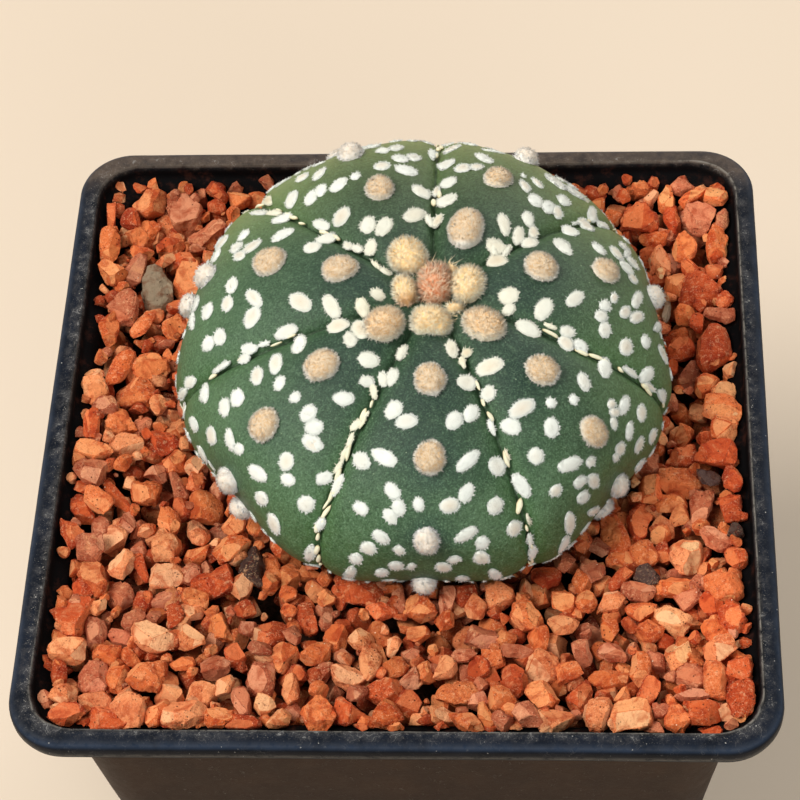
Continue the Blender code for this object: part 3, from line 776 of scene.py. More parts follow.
# flecks: x, y in the photograph, length, width in its pixels, slope in degrees
# clockwise from the picture's right, and w white or c cream scale in a crease
FLECKS = """
383.1 150.9 13.5 5.3 176 w
432.4 154.4 17.9 7.8 73 w
331 156.4 12.1 9.9 132 w
319.1 164.6 17.8 6.3 156 w
307 169.5 10.8 4 159 w
298 174 11.9 3.7 151 w
413.8 157.8 14.6 8.7 14 w
400.7 158.9 17.6 9.7 15 w
406.1 170.5 25.7 10.3 18 w
446.4 164.8 19.4 8.9 150 w
381.9 166.4 16.8 9.1 174 w
476.5 167.4 14.6 6 176 w
462.5 168.5 17.3 9.4 169 w
319.5 174.4 17.3 7.6 129 w
355.3 176.7 9.8 7.4 144 w
302.4 177.8 15.2 6.3 146 w
556.7 182.7 28.3 6.8 42 w
571 190.6 11 6.5 25 w
581.6 196.8 19.9 4.9 36 c
523.2 176.1 5 2.9 48 w
448.5 183 18.1 9.9 154 w
283.3 182.4 22.6 5.2 153 w
245.4 211.2 25.1 8.8 128 c
258.5 213.1 21 10.8 178 w
338.6 185 21.7 11.7 137 w
537.2 183.3 15.1 4.6 44 w
524.7 186.5 15.4 7.3 57 w
320.8 190.7 14.2 10.4 111 w
311.1 198 17.7 11.5 118 w
421.2 192 22 10.9 32 w
436.3 192.3 10.8 5.8 111 w
291.8 199.5 20.4 10.3 112 w
447.1 200.7 23.3 11.4 153 w
535.3 200.8 17 11 53 w
548.2 207.3 14.9 13.4 69 w
557.3 212.6 14.5 9.2 77 w
563.6 200.6 15.8 11.9 38 w
592 214.4 17.1 14.5 94 w
610 222.4 7.3 6 112 c
615.9 224 7 5.1 40 c
585.8 225.7 18.9 11.4 50 w
602.5 225.3 14.6 8.2 25 w
414.5 215.2 24.3 20 161 w
341.6 216.8 23.9 14.9 122 w
528.2 219.4 17.1 11 72 w
533.4 232.7 12.3 9.5 84 w
518.4 236.3 19.2 12.3 99 w
529.7 243.5 17 10.7 176 w
504.1 224.5 23.1 12.1 75 w
281.7 219.8 21.5 8.7 161 w
368 225.2 18.6 16 101 w
383.8 226.8 22.7 14.6 120 w
321.6 225.4 17.3 10.4 21 w
575.1 223.6 5.4 2.4 165 w
282.5 234.8 25.4 10.1 149 w
570.1 232.1 19.1 8.9 23 w
235.5 248.6 10.7 8.6 113 w
251.9 246.9 24.5 7.7 144 w
239.7 256 12.8 8.9 165 w
326.4 239.3 22.3 9.6 167 w
312.3 247.7 18.6 12.7 159 w
222.4 242.9 18.9 9.1 125 w
216.5 255.4 16.2 7.7 115 w
563.1 246.6 31.3 11.1 44 w
496.1 247 22.8 15.8 20 w
370.8 248.1 17.5 12.7 100 w
348.1 246 10.3 7.9 29 w
357.3 248.6 11.9 7.4 23 w
623.2 246.4 10 7.2 54 w
626.9 253.5 9 7.3 113 w
632.2 262.6 18.3 7.4 46 w
598.7 249 17.5 6.5 44 w
616.4 253.4 19.7 7.1 50 w
626.7 267.9 18.3 8.1 50 w
632.6 278.8 12.5 6.6 44 w
640.6 262.2 26.3 5.8 69 w
376 264.8 12.6 5.4 43 c
385.5 271.9 13.5 5.4 33 w
647.8 279.9 9.2 3.6 70 w
232 285.7 16.7 11.7 92 w
508.8 295.8 21.9 17.4 165 w
508.8 309.5 14.5 11.6 130 w
254.3 298.4 21.7 12.9 48 w
252.2 317.2 24.6 15.9 117 w
574.8 298.9 21.8 13.7 140 w
636.9 299.8 18.2 10.7 114 w
362.5 308 19.3 17.5 75 c
331.6 306.6 34.5 15.5 57 w
338.4 326.7 24.5 15.5 167 w
360.3 329 23.6 18.1 67 w
350.3 339.3 16.5 13.6 73 w
300.5 302.5 24.6 18.4 36 w
613.8 298.2 10.2 7.5 109 w
196.4 303.8 16.3 8.1 104 w
192.4 321 20.3 7 90 w
227.6 304.1 16.5 11.2 96 w
543.7 309.3 25.5 16.9 125 w
604.8 305.8 12.1 11.4 74 w
601.1 316.3 13.4 12.8 64 w
604.8 329.8 17.3 13.2 102 w
207.5 311.1 18.4 11 105 w
624.9 312.6 12.8 11.1 128 w
636.4 317.6 14.7 12.3 151 w
527.9 329.1 28.1 17 30 w
656.7 327.1 16.7 11.6 119 w
660 335.4 13.6 8.5 164 w
663.9 343.2 9.6 6.3 80 w
662.8 354.5 21.8 9.8 66 w
670.8 374.5 28 6.1 81 w
550.2 326.3 13.1 5.9 22 c
286.4 332.2 25.4 12.9 153 w
567.5 332.1 16.4 11.3 20 w
566.1 343.6 18.2 13.5 45 w
580.3 346.4 17.6 11.4 50 w
185 334.1 15.9 3.9 109 w
219.6 337.3 17.6 13.1 88 w
208.5 343.4 16.4 12.1 101 w
645.3 341.8 14.1 8.7 83 w
299.3 345.2 19.9 11.8 111 w
626 347.2 18.2 14 95 w
451.7 349.5 19 12 72 w
264.2 344.1 11.8 4.6 162 w
249.6 349.3 16.8 11.7 171 w
244.6 358.9 12 9.3 153 w
402.1 352.7 18.5 8.7 119 w
466.8 352.8 12 10.8 152 c
462.5 361.7 12 8.1 75 c
178.5 357.4 24.9 5.3 108 w
368.7 359.9 22.9 16.3 11 w
275.9 363.8 21.5 13.1 93 w
490.1 366.7 31.5 16.7 156 w
604.2 368.9 19.5 13.2 84 w
221.6 366.9 21.1 5.6 145 w
630.5 372.2 19.5 6 38 w
646.5 375 19.7 13.1 133 w
649.6 387.1 15.2 5.2 38 w
257.2 376 19 12.2 98 w
382.9 379.5 15.5 9.7 80 w
392.4 377.3 18.2 12.5 105 w
583.8 382.3 20.5 11.6 73 w
466.2 383.1 20.3 16.5 17 w
279.7 383.3 17 10.1 110 w
190.3 382.3 13.1 10.4 137 w
204.7 393.4 18.7 12.1 93 w
488.2 393.9 17 14.7 103 w
182.7 393.9 12.4 6.8 120 w
176.6 408.9 35.4 6.5 83 c
237.6 397.9 18.7 14.9 90 w
661.8 396 14.5 7.8 66 w
343.7 398.7 22.9 14.8 2 w
295.3 397.4 12.1 10.5 115 w
573.5 399.9 10.8 9.3 70 w
611.2 404.6 10.3 8.9 113 w
624 405.6 20.1 10.8 111 w
614.4 412.5 11.3 9.9 0 w
613.5 423.1 13.8 7.3 82 w
521.9 408.5 34.6 16.9 150 w
510.9 426.4 22.2 16.8 22 w
550.6 402.9 11 10.2 38 w
224.8 407.3 20.1 10.2 96 w
394 409.8 20.7 18.4 117 w
406.7 421.5 23.9 15.1 174 w
668.5 411.7 26.2 8.7 99 w
471.1 413.4 19.3 15.2 123 w
454.5 420.6 20.6 17.4 126 w
308.5 413.5 20.1 15.3 132 w
314.4 427.6 19.3 15.6 174 w
312.8 442.4 23.7 15.6 32 w
641.2 413.1 17.9 9.8 90 w
350.2 440.3 17.7 6.7 112 c
344 454.4 16.9 7.1 113 c
338.4 467 13.8 7.2 120 c
194.2 424.3 16.1 7.7 67 w
551.6 427.7 22.1 16 86 w
491.7 427.4 17.4 6.1 70 w
629.2 431.1 19.4 7.9 98 w
211.8 435.9 20.1 9.6 78 w
652.4 436 16.7 8 101 w
230.2 439.6 23 9.1 80 w
239.2 448.9 11.7 10.2 84 w
189.5 436.2 13.7 6.5 75 w
639 445 17.9 7.5 110 w
620 448.8 14.7 10.1 103 w
615.6 457.2 8.8 7 102 w
651.5 451.8 24.5 4 127 w
639.9 464.5 15.8 4.8 133 w
203 454.4 19.4 6.7 62 w
212 465.4 14.4 6.7 64 w
384.2 457.2 33.1 15.5 27 w
194.9 454.5 18.5 3.2 63 w
536 456 17.5 16.4 108 w
507.3 454.6 12.2 2.9 69 c
467.9 460.9 30.9 13.9 141 w
361.6 461 20.7 16.1 45 w
286.8 461.7 19.2 15.4 100 w
496.6 466.3 21.8 17 65 w
569.9 464.4 26.7 14.3 161 w
590.4 461.9 11.7 9.2 130 w
258.1 473.2 23.3 13.6 36 w
521.4 485.5 30.5 13.6 59 w
211.3 475.8 13.5 3.5 54 w
324.4 478.3 17.9 13.2 162 w
288.1 479.6 15.5 12.7 24 w
337.7 484.8 24.2 8.7 113 w
593.3 480.8 14.9 13.4 57 w
580.1 481.8 16 10.8 148 w
392.7 491.3 20.7 13.9 49 w
398.8 507.5 18.4 13.4 73 w
390.4 516.2 17.8 12.7 54 w
466.6 492.9 23.3 14 124 w
449.7 505.4 21.7 15.9 165 w
555.5 490.6 14.4 11 138 w
582.8 496.9 14.1 11.4 147 w
261.9 498.2 16.7 12 42 w
306.1 504 18.6 17.1 6 w
495.3 505.6 19 16 112 w
418.7 504 13.7 12 72 w
607.4 500.8 6.1 3.9 115 w
603.7 506.5 9.7 4.5 134 w
593.8 511 13.6 9.6 158 w
360.9 508.5 17.3 12.7 38 w
253.5 515.8 16.4 6.4 42 w
569.7 523.2 26.5 11.4 89 w
564 544.6 24.2 8.2 113 w
274.1 523.9 24.1 11.6 71 w
528.3 519 11.3 4.4 75 c
250.8 521.5 18.5 2.8 49 w
319.9 524.3 15.6 9.4 121 w
514 528.3 17.9 14 130 w
584.4 527.9 19 5.1 127 w
466.2 534.3 27.2 11.9 150 w
381 536.8 19.8 12.5 34 w
529.7 539.6 13.6 5.8 84 w
532.5 552.1 14.2 8.3 101 w
533.4 566.9 13 11.7 18 w
525.4 573.6 10.3 6.2 138 w
272.7 540.3 14.1 6.4 40 w
482.2 542.9 15.3 14.2 117 w
481.7 557.7 16.3 14.3 39 w
368.5 548 17.1 12.8 24 w
309.9 553.6 19.9 11.1 106 w
399.2 549.9 12.2 9 33 w
454.2 559.3 13.9 8 161 w
396.1 565.4 15.9 9.3 14 w
443.4 566.6 17.3 9.2 12 w
411.3 566 8.3 7.1 8 w
495.3 574.7 20.9 15.3 41 w
381.6 572.4 13.2 10.6 14 w
389.1 579.4 15.3 9.4 10 w
462.3 578.2 12.9 10.2 8 w
472 582.3 10.8 4.3 5 w
367.3 581.9 13 4.3 177 w
446.5 581.1 8.3 2.4 174 w
484.4 582.8 5.5 1.9 0 w
412.5 141.4 16 3.5 2 w
370.5 148.2 27 5 170 w
396.4 148.2 14 7 170 w
452 149.1 19 8 152 w
493 151.8 28 6 14 w
484.1 158.4 23 8 27 w
553.8 180.7 22 8 35 w
575.2 193.2 29 7 32 w
267.9 200.9 18 15 60 c
273.2 212.9 17 6.5 177 c
429.3 220.5 14 7 60 w
437.7 220.5 17 8 120 w
243.8 235.7 15 6.5 132 w
237.5 247.3 13 7 135 w
493.9 248.2 18 9 85 w
497.5 261.6 22 12 175 w
506.4 251.8 15 5.5 125 w
377.7 294.6 16 11 35 w
367 381.8 16 12 15 w
373.2 389.8 20 9 75 c
313.8 427.3 17 17 0 w
313.4 444.3 20 14 20 w
357.1 424.6 17 10 145 c
365.2 416.6 13 4 120 c
356.3 558.6 14 12 0 w
350 572.9 17 11 120 w
311.6 569.3 24 7 28 w
326.8 578.2 9 3 25 w
581.4 221.4 9 5 150 w
665.4 426.4 9 3.5 115 w
200 463.9 6 3 50 w
260.7 535.4 13 4 45 w
"""


def fleck(p, n, A, B, kind, rng, patches, blades, lift, dense=1.0):
    m = 16
    theta = np.arange(m) / m * TAU + rng.uniform(0, 0.3)
    r = wobble(rng, theta, 0.035) * rng.uniform(0.95, 1.05, m)
    if kind == "c":
        # a scale: pointed at both ends
        r = r * (0.80 + 0.28 * np.abs(np.cos(theta)) ** 3) * wobble(rng, theta, 0.06)
    # near the crown the flecks are cream, further out whiter
    out = float(np.clip((np.linalg.norm(p - CROWN_P) - 9.0) / 13.0, 0, 1))
    colour = ((1 - out) * lin((228, 225, 205)) + out * lin((232, 234, 224)) if kind == "w"
              else lin((235, 231, 206)))
    colour = colour * rng.uniform(0.95, 1.04)
    # the felt of some is cream or pinkish in the middle
    core = colour * (lin((234, 214, 190)) / lin((242, 240, 231))) ** rng.choice((0.0, 0.1, 0.3, 0.7))
    rings = []
    for s, z in ((1.0, -0.16), (0.93, 0.42 * lift), (0.66, 0.86 * lift)):
        q = (p + (np.cos(theta) * r * s)[:, None] * A + (np.sin(theta) * r * s)[:, None] * B)
        lumps = rng.uniform(0.8, 1.15, m) if z > 0 else np.ones(m)
        rings.append(np.array([settle(v, n, z * u) for v, u in zip(q, lumps)]))
    shades = np.concatenate([np.repeat(g[None], m, 0) for g in
                             (colour, colour, 0.45 * colour + 0.55 * core)] + [core[None]])
    patches.add(rings, settle(p, n, lift), np.minimum(shades, 0.93))
    la, lb = np.linalg.norm(A), np.linalg.norm(B)
    area = math.pi * la * lb
    count = int(12 * area * dense)
    rad = np.sqrt(rng.uniform(0, 1, count)) * 0.92
    phi = rng.uniform(0, TAU, count)
    rr_at = np.interp(phi, np.append(theta, theta[0] + TAU), np.append(r, r[0]), period=TAU)
    x, y = rad * np.cos(phi) * rr_at, rad * np.sin(phi) * rr_at
    q = p + x[:, None] * A + y[:, None] * B
    q = np.array([settle(v, n, lift * (1 - (0.8 * g) ** 2) * 0.8) for v, g in zip(q, rad)]).reshape(-1, 3)
    out = x[:, None] * A + y[:, None] * B
    way = unit(n * 0.8 + out * 0.5 + 0.75 * wander(rng, count))
    if count:
        light = rng.uniform(0.94, 1.05, (count, 1))
        middle = np.clip(1.2 - 1.5 * rad, 0, 1)[:, None]
        felt = (colour + (core - colour) * middle) * light
        blades.add(q, way, rng.uniform(0.16, 0.30, count), rng.uniform(0.10, 0.15, count),
                   wander(rng, count) * 0.4, felt * 0.97, np.minimum(felt, 0.97), rng, n,
                   soft=0.9)
    if kind in "wc":
        count = int((10.0 if kind == "w" else 5.0) * math.pi * (la + lb) * dense)
        phi = rng.uniform(0, TAU, count)
        rr_at = np.interp(phi, np.append(theta, theta[0] + TAU), np.append(r, r[0]), period=TAU)
        c, s = np.cos(phi)[:, None], np.sin(phi)[:, None]
        q = p + c * 0.90 * rr_at[:, None] * A + s * 0.90 * rr_at[:, None] * B
        q = np.array([settle(v, n, rng.uniform(0.0, 0.18)) for v in q])
        way = unit(unit(c * A * lb + s * B * la) + 0.30 * n + 0.35 * wander(rng, count))
        blades.add(q, way, rng.uniform(0.20, 0.42, count), rng.uniform(0.10, 0.15, count),
                   wander(rng, count) * 0.25, colour * 0.98, np.minimum(colour, 0.97), rng, n,
                   soft=0.88)


def measured_fleck(x, y, long, wide, slope):
    """Centre, normal and half axes on the skin of an ellipse in the photograph."""
    p, n = meet(x, y)
    c, s = math.cos(math.radians(slope)), math.sin(math.radians(slope))

    def on_tangent(px, py):
        d = sight(px, py)
        k = min(d @ n, -0.22)
        return EYE + d * ((p - EYE) @ n) / k

    o = on_tangent(x, y)
    A = (on_tangent(x + c * long / 2, y + s * long / 2) - o)
    B = (on_tangent(x - s * wide / 2, y + c * wide / 2) - o)
    A, B = A - n * (A @ n), B - n * (B @ n)
    for v, most in ((A, 2.0), (B, 1.25)):
        size = np.linalg.norm(v)
        if size > most:
            v *= most / size
    if np.linalg.norm(B) < 0.25:
        B *= 0.25 / np.linalg.norm(B)
    # B is kept square enough to A that the outline stays an oval
    ah = unit(A)
    B = B - ah * (B @ ah) * 0.5
    return p, n, A * 0.98, B * 0.98


rng = np.random.default_rng(5)
patches, fuzz = Patches(), Blades()
middles = []
for row in FLECKS.strip().splitlines():
    x, y, long, wide, slope, kind = row.split()
    p, n, A, B = measured_fleck(float(x), float(y), float(long), float(wide), float(slope))
    if np.cross(A, B) @ n < 0:
        B = -B
    fleck(p, n, A, B, kind, rng, patches, fuzz, 0.26 if kind == "w" else 0.18)
    middles.append(p)

# the same density of flecks where the photograph can't see the skin
middles = np.array(middles)
tries, made = 0, 0
while tries < 9000:
    tries += 1
    a, e = rng.uniform(0, TAU), math.asin(rng.uniform(-0.62, 0.7))
    q = skin(a, e, 0.0, False)[0]
    hit, m, _, _ = SKIN_TREE.find_nearest(Vector(q))
    q, m = np.array(hit), np.array(m)
    if m @ unit(EYE - q) > 0.10 or q[2] < 83.0:
        continue
    if np.linalg.norm(middles - q, axis=1).min() < rng.uniform(2.3, 4.2):
        continue
    if min(np.linalg.norm(q - s[0]) for s in areoles) < 4.0:
        continue
    f = unit(wander(rng, 1)[0] - m * (wander(rng, 1)[0] @ m))
    f = unit(f - m * (f @ m))
    g = np.cross(m, f)
    la = rng.uniform(0.75, 1.25)
    lb = la * rng.uniform(0.6, 0.9)
    fleck(q, m, f * la, g * lb, "w", rng, patches, fuzz, 0.26, 0.7)
    middles = np.vstack([middles, q])
    made += 1
    if rng.random() < 0.3:
        s = q + f * la * 1.5 + g * rng.uniform(-0.4, 0.4)
        h2, m2, _, _ = SKIN_TREE.find_nearest(Vector(s))
        fleck(np.array(h2), np.array(m2), f * la * 0.75, g * lb * 0.9, "w", rng, patches,
              fuzz, 0.26, 0.7)
        middles = np.vstack([middles, np.array(h2)])

# cream scurf beside the bottoms of the creases: crease, elevations, how much
for k, hi, lo, share in ((4, 66, -6, 0.66), (5, 66, -8, 0.50), (3, 70, 0, 0.38),
                         (6, 72, 4, 0.40), (2, 66, 10, 0.30), (0, 60, 8, 0.28),
                         (1, 66, 0, 0.30)):
    e = hi
    while e > lo:
        e -= rng.uniform(2.0, 5.2)
        if rng.random() > share:
            continue
        er = math.radians(e)
        beside = rng.normal(0, 0.22) / RADIUS / max(0.3, math.cos(er))
        a = GROOVES[k] + TWISTS[k] * max(math.sin(er), 0) + beside
        q = skin(a, er, 0.0, True, 0.95)[0]
        q2 = skin(a, er - 0.03, 0.0, True, 0.95)[0]
        out = unit(skin(a, er, 0.0, False)[0] - np.array((MID_X, MID_Y, MID_Z - 4)))
        f = unit(q2 - q)
        g = np.cross(out, f)
        f = unit(f + rng.normal(0, 0.22) * g)
        g = np.cross(out, f)
        la, lb = rng.uniform(0.45, 1.20), rng.uniform(0.24, 0.56)
        m = 14
        theta = np.arange(m) / m * TAU
        r = wobble(rng, theta, 0.10) * (0.78 + 0.3 * np.abs(np.cos(theta)) ** 3)
        shape = (np.cos(theta) * r)[:, None] * f * la + (np.sin(theta) * r)[:, None] * g * lb
        rings = [np.array([settle(v, out, lift) for v in q + shape * s])
                 for s, lift in ((1.0, -0.1), (0.92, 0.10), (0.55, 0.22))]
        pale = lin((240, 234, 202)) * rng.uniform(0.90, 1.05)
        shades = np.concatenate([np.repeat((pale * (0.80, 0.66, 0.45))[None], m, 0),
                                 np.repeat((pale * (0.96, 0.93, 0.84))[None], m, 0),
                                 np.repeat(pale[None], m, 0), pale[None]])
        patches.add(rings, settle(q, out, 0.24), shades)
for ob in (patches.build("fleck_felt", FLECK), fuzz.build("fleck_fuzz", FLECK)):
    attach(ob, "root")

# ================================================================= the gravel
def inner_half(z):
    return WALL_HALF_TOP - WALL_TAPER * (POT_HEIGHT - z) - WALL_T


def room(z):
    """Half width of the space inside the pot at a level, rim included."""
    return np.interp(z, (BASE_T, 86.0, 86.8, 87.6, 88.0, 90.0),
                     (inner_half(BASE_T), inner_half(86.0), 44.98, 46.35, 46.72, 46.9))


def stone_shape(rng, L, W, H, longest, cuts=8, worn=0.07, scoops=1):
    """A crushed chip L x W x H: a rounded block broken by random planes and by
    shell-like scoops. Points about its middle, faces and each face's facet, which
    is 0 on what is left of the block's weathered skin."""
    bm = bmesh.new()
    bmesh.ops.create_icosphere(bm, subdivisions=2, radius=1.0)
    p = rng.uniform(0.55, 0.95)
    lean = rng.uniform(-0.34, 0.34, 4)
    for v in bm.verts:
        c = np.array(v.co)
        c = np.sign(c) * np.abs(c) ** p
        x, y, z = c
        v.co = Vector((x * (1 + lean[0] * y) * L / 2, y * (1 + lean[1] * x) * W / 2,
                       (z + lean[2] * 0.4 * x) * (1 + lean[3] * x) * H / 2))
    size = Vector((L, W, H)) / 2
    for k in range(cuts):
        n = unit(rng.normal(size=3) * ((1, 1, 0.5) if k % 3 else (0.5, 0.5, 1)))
        # planes lie square to the block's own proportions
        m = Vector(unit(n / np.array(size)))
        reach = max(m @ v.co for v in bm.verts)
        cut = bmesh.ops.bisect_plane(
            bm, geom=bm.verts[:] + bm.edges[:] + bm.faces[:], dist=1e-5,
            plane_co=m * reach * rng.uniform(0.50, 0.88), plane_no=m, clear_outer=True)
        rim = [g for g in cut["geom_cut"] if isinstance(g, bmesh.types.BMEdge)]
        if rim:
            made = bmesh.ops.edgeloop_fill(bm, edges=rim)["faces"]
            for f in made:
                f.material_index = k + 1
    bmesh.ops.dissolve_degenerate(bm, dist=0.04 * min(L, W, H), edges=bm.edges[:])
    bmesh.ops.recalc_face_normals(bm, faces=bm.faces[:])
    small = min(L, W, H)
    sharp = [e for e in bm.edges if len(e.link_faces) == 2
             and e.calc_face_angle(0.0) > math.radians(24)]
    if worn and sharp:
        bmesh.ops.bevel(bm, geom=sharp, offset=worn * small, segments=2, profile=0.5,
                        affect="EDGES", clamp_overlap=True)
    bmesh.ops.remove_doubles(bm, verts=bm.verts[:], dist=1e-4)
    bmesh.ops.triangulate(bm, faces=bm.faces[:])
    for _ in range(5):
        # the underside, which nothing sees, is left coarse
        long = [e for e in bm.edges if e.calc_length() > longest
                * (1.0 if e.verts[0].co.z + e.verts[1].co.z > -0.3 * H else 2.2)]
        if not long:
            break
        bmesh.ops.subdivide_edges(bm, edges=long, cuts=1)
        bmesh.ops.triangulate(bm, faces=[f for f in bm.faces if len(f.verts) > 3])
    bm.normal_update()
    pts = np.array([v.co for v in bm.verts])
    for _ in range(scoops):
        # a hollow broken out of one side: the inside of a large ball
        n = unit(rng.normal(size=3) * (1, 1, 0.7))
        R = rng.uniform(0.45, 0.9) * (L + W) / 2
        reach = (pts @ n).max()
        c = n * (reach + R - small * rng.uniform(0.06, 0.15)) + wander(rng, 1)[0] * 0.12 * L
        off = pts - c
        far = np.linalg.norm(off, axis=1)
        pts = np.where((far < R)[:, None], c + off / far[:, None] * R, pts)
    shift = rng.uniform(-50, 50, 3)
    normal = np.array([v.normal for v in bm.verts])
    # the weathered skin is rougher than the broken faces
    rough = np.array([np.mean([f.material_index == 0 for f in v.link_faces]) for v in bm.verts])
    unit_len = max(0.5, small) / 3.0
    for n, (v, s) in enumerate(zip(pts, normal)):
        q = Vector(v + shift)
        d = (noise.noise(q / (1.5 * unit_len)) * 0.060 + noise.noise(q / (0.55 * unit_len)) * 0.036
             + noise.noise(q / (0.30 * unit_len)) * (0.010 + 0.026 * rough[n])) * small
        chip = noise.noise(q / (0.8 * unit_len) + Vector((9, 9, 9)))
        if chip > 0.2:
            d -= (chip - 0.2) * 0.17 * small
        pts[n] = v + s * d
    lo, hi = pts.min(0), pts.max(0)
    pts = (pts - (lo + hi) / 2) / (hi - lo) * (L, W, H)
    bm.verts.index_update()
    tris = np.array([[v.index for v in f.verts] for f in bm.faces])
    facet = np.array([f.material_index for f in bm.faces])
    bm.free()
    # no face twice, and none that has closed up
    _, once = np.unique(np.sort(tris, 1), axis=0, return_index=True)
    keep = np.sort(once)
    keep = keep[[len(set(tris[i])) == 3 for i in keep]]
    return pts, tris[keep], facet[keep]


CLAY = {  # a stone's main colour, its pale broken faces and its raw red ones
    "o": ((218, 121, 67), (238, 158, 101), (197, 88, 39)),
    "t": ((232, 152, 100), (242, 182, 134), (216, 118, 68)),
    "r": ((197, 86, 42), (226, 127, 76), (158, 56, 23)),
    "m": ((198, 116, 80), (224, 152, 114), (160, 80, 52)),
    "d": ((70, 53, 47), (108, 86, 76), (47, 34, 31)),
    "g": ((164, 144, 118), (186, 166, 140), (130, 112, 92)),
}


class Heap:
    """Stones gathered into one mesh; tint's alpha is how granular a face is."""

    def __init__(self):
        self.v, self.f, self.c, self.n, self.facets = [], [], [], 0, 0

    def add(self, pts, tris, facet, kind, rng, shade=1.0):
        main, pale, raw = (lin(c) for c in CLAY[kind])
        a, b, c = (pts[tris[:, k]] for k in range(3))
        n = unit(np.cross(b - a, c - a))
        count = facet.max() + 1
        mean = np.zeros((count, 3))
        np.add.at(mean, facet, n)
        up = np.clip(unit(mean)[:, 2], -1, 1)
        # each broken face is pale, plain or red; upward faces are more often pale, partly painted light from
        # above; the weathered skin is plain or red
        pick = rng.random(count) + 0.16 * np.clip(up, -1, 1)
        col = np.where(pick[:, None] > 0.68, pale, np.where(pick[:, None] > 0.30, main, raw))
        col = col * rng.uniform(0.88, 1.10, (count, 1)) * rng.uniform(0.97, 1.03, (count, 3))
        main = main * rng.uniform(0.86, 1.12) * rng.uniform(0.96, 1.04, 3)
        col = col * 0.55 + main * 0.45
        skin_mix = rng.uniform(0.2, 0.9)
        col[0] = main * (1 - skin_mix) + raw * skin_mix
        # the chips along the right wall are painted a little paler: painted light
        painted_light_right = 1 + 0.20 * np.clip((pts[:, 0].mean() - 28) / 9, 0, 1)
        col = col * rng.uniform(0.96, 1.12) * shade * painted_light_right
        grainy = rng.uniform(0.0, 0.6, (count, 1))
        grainy[0] = rng.uniform(0.6, 1.0)
        rgba = np.concatenate([np.minimum(col, 0.9), grainy], 1)
        if kind == "g":
            rgba[:, 3] = 0.0
        self.v.append(pts)
        self.f.append(tris + self.n)
        self.c.append(np.repeat(rgba[facet], 3, axis=0))
        self.n += len(pts)

    def build(self, name, mat):
        ob = make_object(name, np.concatenate(self.v), np.concatenate(self.f), mat)
        paint(ob, "tint", np.concatenate(self.c), "CORNER")
        ob.data.set_sharp_from_angle(angle=math.radians(36))
        return ob


def turned(pts, yaw, tilt_x, tilt_y):
    m = (Matrix.Rotation(yaw, 3, "Z") @ Matrix.Rotation(tilt_x, 3, "X")
         @ Matrix.Rotation(tilt_y, 3, "Y"))
    return pts @ np.array(m).T


def held_in(pts):
    """Keeps points inside the pot's wall and rim."""
    half = room(pts[:, 2]) - 0.10
    out = pts.copy()
    out[:, 0] = np.clip(out[:, 0], -half, half)
    out[:, 1] = np.clip(out[:, 1], -half, half)
    c = half - 6.0
    dx, dy = np.abs(out[:, 0]) - c, np.abs(out[:, 1]) - c
    bad = (dx > 0) & (dy > 0) & (np.hypot(dx, dy) > 6.0)
    f = np.where(bad, 6.0 / np.maximum(np.hypot(dx, dy), 1e-6), 1.0)
    out[:, 0] = np.where(bad, np.sign(out[:, 0]) * (c + dx * f), out[:, 0])
    out[:, 1] = np.where(bad, np.sign(out[:, 1]) * (c + dy * f), out[:, 1])
    return out


def clay_look(name):
    k = Look(name, rough=0.9, spec=0.2)
    tint = k.attr("tint")
    grainy = k.attr("tint", "Alpha")
    drift = k.noise(2.3, 3, 0.6, warp=0.7)
    mid = k.noise(0.62, 3, 0.68)
    fine = k.noise(0.21, 2, 0.65)
    grit = k.noise(0.12, 2, 0.7)
    # slow drift from orange to brick red within a stone
    c = k.mix(k.step(drift, 0.47, 0.66, 0.0, 0.80), tint, srgb(206, 154, 132), "MULTIPLY")
    c = k.mix(k.math("MULTIPLY", k.step(drift, 0.42, 0.28, 0.0, 0.36), k.step(grainy, 0.0, 0.1)), c,
              srgb(238, 168, 114))
    # painted highlight on the high grains, painted shadow between them, on the noise that also bumps the stone
    high = k.math("MULTIPLY", k.step(mid, 0.52, 0.74), k.math("ADD", k.math("MULTIPLY", grainy, 0.46), 0.04))
    c = k.mix(high, c, srgb(248, 190, 142))
    low = k.math("MULTIPLY", k.step(mid, 0.46, 0.26), k.math("ADD", k.math("MULTIPLY", grainy, 0.66), 0.06))
    c = k.mix(low, c, srgb(132, 46, 22))
    pep = k.math("MULTIPLY", k.step(fine, 0.44, 0.26), k.math("ADD", k.math("MULTIPLY", grainy, 0.86), 0.08))
    c = k.mix(pep, c, srgb(112, 40, 22))
    salt = k.math("MULTIPLY", k.step(fine, 0.56, 0.76), k.math("ADD", k.math("MULTIPLY", grainy, 0.54), 0.05))
    c = k.mix(salt, c, srgb(250, 200, 156))
    # pits, painted dark: painted shade in their hollows
    pit = k.cells(0.62)
    open_ = k.step(k.noise(1.3, 1), 0.52, 0.62)
    hole = k.math("MULTIPLY", k.step(pit, 0.22, 0.10), open_)
    c = k.mix(k.math("MULTIPLY", hole, 0.75), c, srgb(70, 26, 16))
    # rare white specks of lime
    speck = k.cells(2.1, at=k.place(move=(3.1, 7.7, 1.3)))
    rare = k.step(k.noise(2.8, 0, at=k.place(move=(11, 2, 5))), 0.55, 0.58)
    c = k.mix(k.math("MULTIPLY", k.step(speck, 0.05, 0.03), rare), c, srgb(240, 214, 184))
    k.colour(c)
    k.bump(grit, 0.03)
    k.bump(fine, 0.12)
    k.bump(mid, 0.24)
    k.bump(k.math("SUBTRACT", 1.0, hole), 0.14)
    return k.mat


CLAY_MAT = clay_look("crushed_clay")
CHIP_MAT = clay_look("crushed_clay_large")

